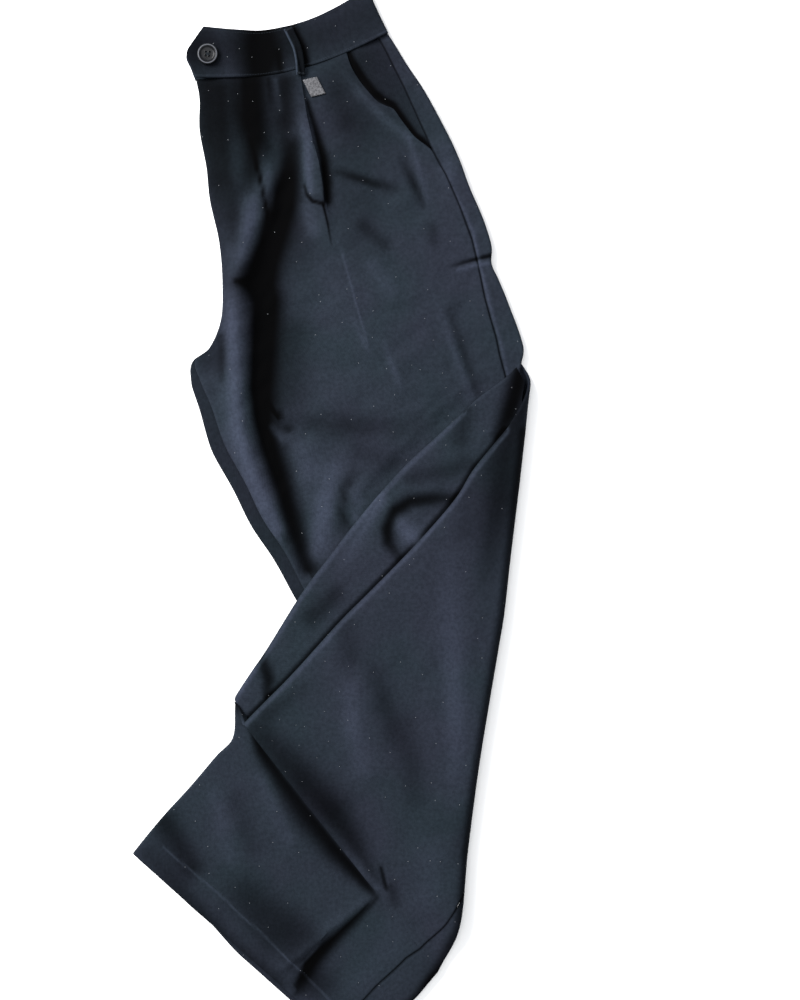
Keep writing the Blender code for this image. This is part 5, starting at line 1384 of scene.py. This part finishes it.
class TROUSERS_OT_turned_legs(bpy.types.Operator):
    """The right leg's front panel round the fold to the hem, its back strip, and the left leg's
    band, with the layers between them"""

    bl_idname = "trousers.turned_legs"
    bl_label = "Turned-back legs"

    def execute(self, context):
        leg, tuck = calf_stations()
        start, half = leg.start, math.pi * leg.radius
        turn = np.where(leg.last < half + 1, leg.last * 0.92, np.maximum(half, start + 8))
        first = start + np.where(start <= 0, 0, GAP / 2)
        s = columns((first, turn, leg.last), (16, 86))
        outer = calf_grid(leg, s)
        outer = np.concatenate([outer, rolled_end(leg, outer[:, -1])], axis=1)
        self.lean_tuck(outer, tuck)
        sewn = (start > 7)[:, None]
        seam = np.hstack([s - start[:, None], np.full((len(s), END_TURNS + 2), 99.0)])
        groove, _ = beside(outer[..., 0], outer[..., 1], HEM_STITCHING)
        on_hem = leg.past[:, None] & (np.arange(outer.shape[1]) < s.shape[1])
        dip = STITCH_GROOVE * bell(seam, 0, GROOVE_REACH) * sewn
        dip = dip + np.where(on_hem, 0.45 * bell(groove, 0, 1.0), 0)
        # Painted shade along the inseam, and a painted highlight along one side of the hem's stitch
        # groove
        tone = calf_painted_shading(outer, leg.past) - 0.5 * bell(seam, 0, SHADE_REACH) * sewn
        tone = tone + np.where(on_hem, 0.35 * bell(groove, -1.2, 0.9), 0)
        outer = outer - face_normals(outer) * dip[..., None]
        cloth_piece("right_front_calf_cloth", outer, ("right_calf_front",), tone)
        self.back_strip(leg)
        self.band()
        self.between(leg)
        self.hem_edge()
        self.stitching(outer[tuck:, :-END_TURNS - 2])
        return {"FINISHED"}

    def lean_tuck(self, outer, tuck):
        """Rounds the tuck's edge and leans it over the part below."""
        across = np.linspace(0, 1, outer.shape[1])[None]
        deep = np.clip((across - 0.35) / 0.5, 0, 1)
        for back, move, fall in ((1, 1.1, 1.5), (2, 0.9, 0.5), (3, 0.5, 0.15)):
            row = outer[tuck - back]
            row[:, :2] += np.array(TUCK_OUT) * move * deep[0][:, None]
            row[:, 2] -= fall * deep[0]

    def back_strip(self, leg):
        """The right back panel, from the fold's underside to the inseam."""
        leg = leg.part(leg.start >= 7)
        s = columns((np.zeros(len(leg.start)), leg.start - GAP / 2), (20,))
        seam = s - leg.start[:, None]
        outer = calf_grid(leg, s)
        outer = outer - face_normals(outer) * (STITCH_GROOVE * bell(seam, 0, GROOVE_REACH))[..., None]
        # Painted shade along the inseam
        tone = calf_painted_shading(outer, leg.past) - 0.5 * bell(seam, 0, SHADE_REACH)
        cloth_piece("right_back_calf_cloth", outer, ("right_calf_back",), tone)

    def band(self):
        """The left leg's band, from its rolled edge to under the right leg."""
        rows = smooth(KNEE_BAND, 190)
        radius = (CALF_TUBE - 2 * GAP) / 2
        sections = Sections(rows)
        flat = columns((np.full(len(rows), radius), sections.length), (40,))
        outer = rolled_sheet(sections, flat, band_height, left=(radius, BAND_LIP))
        x, y = outer[..., 0], outer[..., 1]
        edge, _ = beside(x, y, KNEE_LINE)
        under, _ = beside(x, y, CALF_LINE)
        outer[..., 2] -= 0.5 * step((under + 3) / 4)
        # Painted highlight along the rolled edge, and painted shade where the band goes under the right
        # leg
        tone = bells(x, y, BAND_CREASES, 5) + 0.45 * bell(edge, 2.4, 1.7) * (y < 95)
        tone = tone - 0.6 * step((under + 5) / 5)
        cloth_piece("left_back_calf_cloth", outer, ("left_calf_back",), tone)

    def between(self, leg):
        """The hidden layers: two thin ones on the thighs and one under the top panel."""
        keep = np.arange(42, len(leg.fold), 2)
        leg = leg.part(keep[leg.fold[keep, 1] > leg.fold[-1, 1] + 8.5])
        from_tuck = np.arange(len(leg.fold)) - np.argmax(leg.past)
        low_share = on_surface(leg.fold)
        band = smooth(KNEE_BAND, 41)
        lip_line = band[:, :2] + unit(band[:, 2:4] - band[:, :2]) * (BAND_LIP + CALF_TUBE / 2 + 2.2)
        ahead = leg.fold + leg.inward * (leg.length + 60)[:, None]
        low_start = FOLD_CLEARANCE * (1 - low_share) + 4.0 * low_share
        low_end = np.where(leg.past, leg.length - 1.5, crossings(leg.fold, ahead, lip_line))
        low_end = np.maximum(low_end - 8 * bell(from_tuck, 0, 9), low_start + 6)
        top_start = FOLD_CLEARANCE * (1 - low_share) + (leg.radius + 3) * low_share
        top_end = leg.length - EDGE_RADIUS - EDGE_LIP - 1.2
        top_end = top_end - np.where(leg.past, 48, 7) * bell(from_tuck, 0, 12)

        leaves = (
            # name, drawn in by, bottom, top
            ("left_front_calf_under", 0.0, 0.0, 1.45),
            ("left_back_calf_under", 0.7, 1.6, 2.85),
        )
        for name, inward, low, high in leaves:
            grids = slab_grids(
                leg.sections, low_start + inward, low_end - inward,
                lambda x, y: rest_height(x, y) + 0.25 + low,
                lambda x, y: rest_height(x, y) + 0.25 + high, 60, 0.8)
            # Painted shade: the hidden leaves are darkened
            hidden_sheet(name, [grids], ("inner_calf",), -0.25)
        wide = top_end - top_start > 12
        grids = [self.under_panel(leg.part(some), top_start[some], top_end[some])
                 for some in (wide & (from_tuck < -4), wide & (from_tuck > 3))]
        # Painted shade: the leaf under the top panel is darkened
        hidden_sheet("right_back_calf_under", grids, ("inner_calf",), -0.25)

    def under_panel(self, leg, first, end):
        """The leaf a little below the top panel's outer face, on one side of the tuck."""
        floor = np.where(leg.past[:, None], 3.35, CALF_TUBE + 0.5) + 0.25

        def low(x, y):
            return rest_height(x, y) + floor

        def high(x, y):
            away = np.hypot(x - leg.fold[:, :1], y - leg.fold[:, 1:])
            s = away + (math.pi - 1) * leg.radius[:, None]
            return np.maximum(calf_grid(leg, s)[..., 2] - LEAF_DEPTH, low(x, y) + 0.25)

        return slab_grids(leg.sections, first, end, low, high, 60, 0.8)

    def hem_edge(self):
        """The left leg's hem, a little longer than the right one's: two leaves one over the other."""
        hem = np.array(HEM_SECTIONS[-1], float)
        start, end = hem[:2], hem[2:4]
        run = (end - start) / np.linalg.norm(end - start)
        out = np.array([run[1], -run[0]])
        share = np.linspace(0.3, 0.985, 90)
        reach = 2.0 + (HEM_PAST - 2.0) * step((share - 0.3) / 0.2)
        foot = start + (end - start) * share[:, None]
        sections = Sections(np.hstack([foot - out * 9.0, foot + out * reach[:, None]]))
        leaves = (
            # bottom, top, shorter by
            (0.0, 1.7, 0.0),
            (1.85, 3.5, 0.7),
        )
        shells = []
        for low, high, short in leaves:
            wave = np.minimum(0.35 * np.sin(share * 31 + short)[:, None], 0.0)
            top, bottom = slab_grids(sections, np.ones(len(share)), 9.0 + reach - short,
                                     lambda x, y: low + 0 * x, lambda x, y: high + 0 * x + wave, 16, 0.8)
            # Painted shade: the hem's leaves are a little darker
            shells.append(wall_shell(top, bottom, -0.1))
        made = make_piece("left_hem_cloth", shells, cloth_material(), ("left_hem",))
        width, length, area = flat_cut(top)

    def stitching(self, hem):
        """The row of stitches that holds the hem, set on the cloth below it."""
        points, _ = resampled(HEM_STITCHING[:-1], 2.6)
        points = settle(points, [hem], -0.05)
        ahead = unit(np.gradient(points, axis=0))
        make_piece("hem_stitches", [stitch_shells(points, ahead, 1.5, 0.36)], thread_material())


class TROUSERS_OT_loop_and_tab(bpy.types.Operator):
    """The belt loop with its bar tacks, and the bare woven tab at its foot"""

    bl_idname = "trousers.loop_and_tab"
    bl_label = "Belt loop and tab"

    def execute(self, context):
        count = 70
        line = smooth(LOOP_LINE, count)
        run = unit(np.gradient(line, axis=0))
        share = np.linspace(0, 1, count)[:, None]
        wide = np.linspace(-LOOP_HALF, LOOP_HALF, 22)[None]
        x = line[:, :1] - run[:, 1:] * wide
        y = line[:, 1:] + run[:, :1] * wide
        base = np.maximum(waist_face(x, y), thigh_form(x, y) + fold_height(x, y, WAIST_FOLDS))
        base = np.maximum(base, thigh_height(x, y)) + 0.35
        free = np.minimum(LOOP_HALF - abs(wide), np.minimum(share, 1 - share) * 46)
        drop = edge_drop(free, 0.6)
        welt = 0.25 * bell(abs(wide), 2.6, 0.6)
        z = base + 1.9 + 1.6 * np.sin(math.pi * share) + welt - drop
        outer = np.stack([x, y, z], -1)
        # Painted highlight along one edge of the loop and painted shade across the rest of it
        tone = 0.3 * bell(wide, -3.0, 0.6) - 0.6 * step((wide + 2.8) / 1.5) + 0 * share
        cloth_piece("belt_loop_cloth", outer, ("belt_loop",), tone,
                    thick=1.4 - 2 * drop)
        shells = []
        for row in (4, count - 5):
            points, _ = resampled(outer[row, 2:-2], 0.55)
            ahead = np.repeat(np.append(run[row], 0.0)[None], len(points), axis=0)
            points[:, 2] += 0.12
            shells.append(stitch_shells(points, ahead, 2.0, 0.42))
        make_piece("belt_loop_tacks", shells, thread_material())
        self.tab()
        return {"FINISHED"}

    def tab(self):
        """A flat piece of tape between four corners, with frayed edges and ribs of weave."""
        a, b, c, d = (np.array(p) for p in TAB_CORNERS)
        t = np.linspace(0, 1, 30)[:, None, None]
        s = np.linspace(0, 1, 28)[None, :, None]
        plan = (a * (1 - s) + b * s) * (1 - t) + (d * (1 - s) + c * s) * t
        fray = 0.18 * np.sin(t * 60) * (abs(s - 0.5) > 0.49)
        plan = plan + (fray + 0.18 * np.sin(s * 60) * (abs(t - 0.5) > 0.49))
        x, y = plan[..., 0], plan[..., 1]
        free = np.minimum(np.minimum(s, 1 - s) * 13, np.minimum(t, 1 - t) * 15)[..., 0]
        drop = edge_drop(free, 0.5)
        rib = (0.12 * np.sin(2 * math.pi * (t * 15) / TAPE_PITCH)
               * np.sin(2 * math.pi * (s * 13) / TAPE_PITCH))
        z = thigh_height(x, y) + 0.45 + 1.2 + rib[..., 0] - drop
        outer = np.stack([x, y, z], -1)
        inner = outer - np.array((0, 0, 1.0)) * (1.2 - 2 * drop)[..., None]
        made = make_piece("side_tab_tape", [wall_shell(outer, inner)], tab_material(),
                          ("side_tab",))
        width, length, area = flat_cut(outer)


class TROUSERS_OT_button(bpy.types.Operator):
    """Four-hole button, turned from its profile, with crossed thread"""

    bl_idname = "trousers.button"
    bl_label = "Button"

    def execute(self, context):
        radius = garment().button_across / MM / 2
        profile = np.array((
            # distance from the axis, height
            (0.01, 2.0), (3.4, 2.05), (5.2, 2.2), (6.1, 2.6), (6.9, 3.25), (7.6, 3.4), (8.3, 3.3),
            (8.85, 2.85), (9.0, 2.2), (8.95, 1.6), (8.2, 0.8), (6.6, 0.2), (5.0, 0.0), (0.01, 0.0)))
        fine = smooth(profile[:8], 66)
        fine = np.vstack([fine, smooth(profile[7:], 34)[1:]])
        turn = np.linspace(0, 2 * math.pi, BUTTON_STEPS + 1)[:-1][None]
        r, z = fine[:, :1] * radius / PROFILE_RADIUS, fine[:, 1:]
        x, y = r * np.cos(turn), r * np.sin(turn)
        holes = np.array([BUTTON_TURN + k * math.pi / 2 for k in range(4)])
        hx, hy = BUTTON_HOLES * np.cos(holes), BUTTON_HOLES * np.sin(holes)
        near = np.min(np.hypot(x[..., None] - hx, y[..., None] - hy), axis=-1)
        on_top = (np.arange(len(fine)) < 60)[:, None]
        z = z - on_top * 1.5 * (1 - step((near - 0.8) / 0.25))
        z = z + on_top * 0.12 * bell(near, 1.15, 0.2)
        base = float(waist_height(*BUTTON_AT)) + 0.45
        points = np.stack([x + BUTTON_AT[0], y + BUTTON_AT[1], z + base], -1).reshape(-1, 3)
        rows, across = len(fine), BUTTON_STEPS
        index = np.arange(rows * across).reshape(rows, across)
        after = np.roll(index, -1, axis=1)
        quads = np.stack([index[:-1], index[1:], after[1:], after[:-1]], -1).reshape(-1, 4)
        # Painted highlight on a ring of the button's rim
        rim = bell(fine[:, :1], 7.9, 0.35) * (np.arange(rows) < 70)[:, None]
        tone = np.repeat(rim * 0.8, across, axis=1).ravel()
        shells = [(points, quads, np.zeros((len(points), 2)), tone)]
        made = make_piece("waist_button", shells, button_material(), ("button",))
        self.close_poles(made)
        self.thread(holes, base)
        return {"FINISHED"}

    def close_poles(self, made):
        """Merges the tiny rings at both poles into one point each."""
        shape = bmesh.new()
        shape.from_mesh(made.data)
        bmesh.ops.remove_doubles(shape, verts=shape.verts, dist=0.00003)
        shape.to_mesh(made.data)
        shape.free()

    def thread(self, holes, base):
        """Three strands over each pair of opposite holes, the second pair over the first."""
        shells = []
        for first, second in ((0, 2), (1, 3)):
            angle = holes[[first, second]]
            ends = BUTTON_HOLES * np.stack([np.cos(angle), np.sin(angle)], -1)
            way = (ends[1] - ends[0]) / np.linalg.norm(ends[1] - ends[0])
            for off in (-0.38, 0.0, 0.38):
                middle = np.array(BUTTON_AT) + np.array((-way[1], way[0])) * off
                top = base + 2.25 + 0.2 * first + 0.1 * (off == 0)
                points, ahead = np.array([[*middle, top]]), np.array([[*way, 0.0]])
                shells.append(stitch_shells(points, ahead, 4.6, 0.42))
        make_piece("button_thread", shells, thread_material())


class TROUSERS_OT_stage(bpy.types.Operator):
    """Pale floor, soft light from the upper left, and the camera straight above"""

    bl_idname = "trousers.stage"
    bl_label = "Floor, light and camera"

    def execute(self, context):
        settings = garment()
        mesh = bpy.data.meshes.new("floor")
        corners = ((-1, -1), (1, -1), (1, 1), (-1, 1))
        mesh.from_pydata([(FLOOR_HALF * x, FLOOR_HALF * y, FLOOR_Z) for x, y in corners],
                         [], [(0, 1, 2, 3)])
        mesh.materials.append(floor_material())
        floor = bpy.data.objects.new("floor", mesh)
        context.scene.collection.objects.link(floor)
        lights = (
            # name, place, size, power
            ("window", (-1.25, 1.05, 1.25), 1.1, settings.key_power),
            ("overhead", (0.2, 0.2, 2.6), 2.6, settings.fill_power),
        )
        for row in lights:
            self.light(context, *row)
        world = bpy.data.worlds.new("studio")
        world.use_nodes = True
        sky = world.node_tree.nodes["Background"].inputs
        sky["Color"].default_value = (0.93, 0.96, 1.0, 1.0)
        sky["Strength"].default_value = settings.air
        context.scene.world = world
        context.scene.view_settings.view_transform = "Standard"
        camera = bpy.data.cameras.new("camera")
        camera.lens = 50.0
        camera.sensor_width = 36.0
        camera.clip_end = 20.0
        eye = bpy.data.objects.new("camera", camera)
        eye.location = (*CAMERA_AT, settings.camera_height)
        context.scene.collection.objects.link(eye)
        context.scene.camera = eye
        return {"FINISHED"}

    def light(self, context, name, place, size, power):
        """A square soft light, aimed at the middle of the garment."""
        lamp = bpy.data.lights.new(name, "AREA")
        lamp.shape = "SQUARE"
        lamp.size = size
        lamp.energy = power
        made = bpy.data.objects.new(name, lamp)
        made.location = place
        aim = Vector((0.03, 0.0, 0.0)) - Vector(place)
        made.rotation_euler = aim.to_track_quat("-Z", "Y").to_euler()
        context.scene.collection.objects.link(made)


def paint(name, default, description):
    """A colour in the settings."""
    return bpy.props.FloatVectorProperty(name=name, subtype="COLOR", size=3, min=0.0, max=1.0,
                                         default=default, description=description)


class TrousersSettings(bpy.types.PropertyGroup):
    cloth_colour: paint("Cloth", (0.0136, 0.0196, 0.0258), "Dark suiting in plain light")
    cloth_cast: paint("Cloth cast", (0.0168, 0.0198, 0.0292), "The same suiting where it looks bluer")
    # Painted highlight colour of raised folds, standing in for the light they catch
    ridge_highlight_colour: paint("Ridge", (0.0400, 0.0475, 0.0730), "Suiting on raised, rubbed folds")
    # Painted shade colour of folds, creases and seams; the cloth's mottle and the thread's plies also
    # darken towards it
    hollow_colour: paint("Hollow", (0.0004, 0.0004, 0.0005), "Suiting deep in a fold or seam")
    lint_colour: paint("Lint", (0.30, 0.31, 0.33), "Small specks of lint")
    thread_colour: paint("Thread", (0.017, 0.0215, 0.0275), "Sewing thread")
    button_colour: paint("Button", (0.0022, 0.0024, 0.003), "Button resin")
    button_cloud: paint("Button cloud", (0.007, 0.0075, 0.009), "Lighter figure in the resin")
    # Painted highlight colour of the button's rim
    button_rim_highlight: paint("Button rim", (0.09, 0.095, 0.11), "Worn edge of the button")
    tab_colour: paint("Tab yarn", (0.12, 0.12, 0.128), "Light yarn of the tab")
    tab_dark: paint("Tab dark yarn", (0.03, 0.03, 0.034), "Dark yarn of the tab")
    ground_colour: paint("Ground", (0.97, 0.97, 0.97), "Floor")
    cloth_thick: bpy.props.FloatProperty(name="Cloth thickness", subtype="DISTANCE", unit="LENGTH",
                                         default=0.0010, description="Wall of each cloth piece")
    weave_pitch: bpy.props.FloatProperty(name="Weave pitch", subtype="DISTANCE", unit="LENGTH",
                                         default=0.0009, description="Distance between two yarns")
    button_across: bpy.props.FloatProperty(
        name="Button", subtype="DISTANCE", unit="LENGTH", description="Across the button",
        default=float((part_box("button")[1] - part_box("button")[0])[0]))
    key_power: bpy.props.FloatProperty(name="Window light", unit="POWER", default=92.0,
                                       description="Soft light from the upper left")
    fill_power: bpy.props.FloatProperty(name="Overhead light", unit="POWER", default=50.0,
                                        description="Broad light from above")
    air: bpy.props.FloatProperty(name="Sky", default=0.55, description="Light from all round")
    camera_height: bpy.props.FloatProperty(name="Camera height", subtype="DISTANCE", unit="LENGTH",
                                           default=1.215, description="Camera above the floor")


OPERATORS = (
    TROUSERS_OT_stage,
    TROUSERS_OT_under_layers,
    TROUSERS_OT_left_thigh,
    TROUSERS_OT_waistband,
    TROUSERS_OT_turned_legs,
    TROUSERS_OT_loop_and_tab,
    TROUSERS_OT_button,
)


class TROUSERS_PT_sidebar(bpy.types.Panel):
    bl_label = "Laid trousers"
    bl_idname = "TROUSERS_PT_sidebar"
    bl_space_type = "VIEW_3D"
    bl_region_type = "UI"
    bl_category = "Trousers"

    def draw(self, context):
        settings = context.scene.laid_trousers
        for name in settings.bl_rna.properties.keys():
            if name not in ("rna_type", "name"):
                self.layout.prop(settings, name)
        for made in OPERATORS:
            self.layout.operator(made.bl_idname)


CLASSES = (TrousersSettings, *OPERATORS, TROUSERS_PT_sidebar)


def register():
    for made in CLASSES:
        bpy.utils.register_class(made)
    bpy.types.Scene.laid_trousers = bpy.props.PointerProperty(type=TrousersSettings)


def unregister():
    del bpy.types.Scene.laid_trousers
    for made in reversed(CLASSES):
        bpy.utils.unregister_class(made)


def main():
    register()
    for made in OPERATORS:
        getattr(bpy.ops.trousers, made.bl_idname.split(".")[1])()


if __name__ == "__main__":
    main()
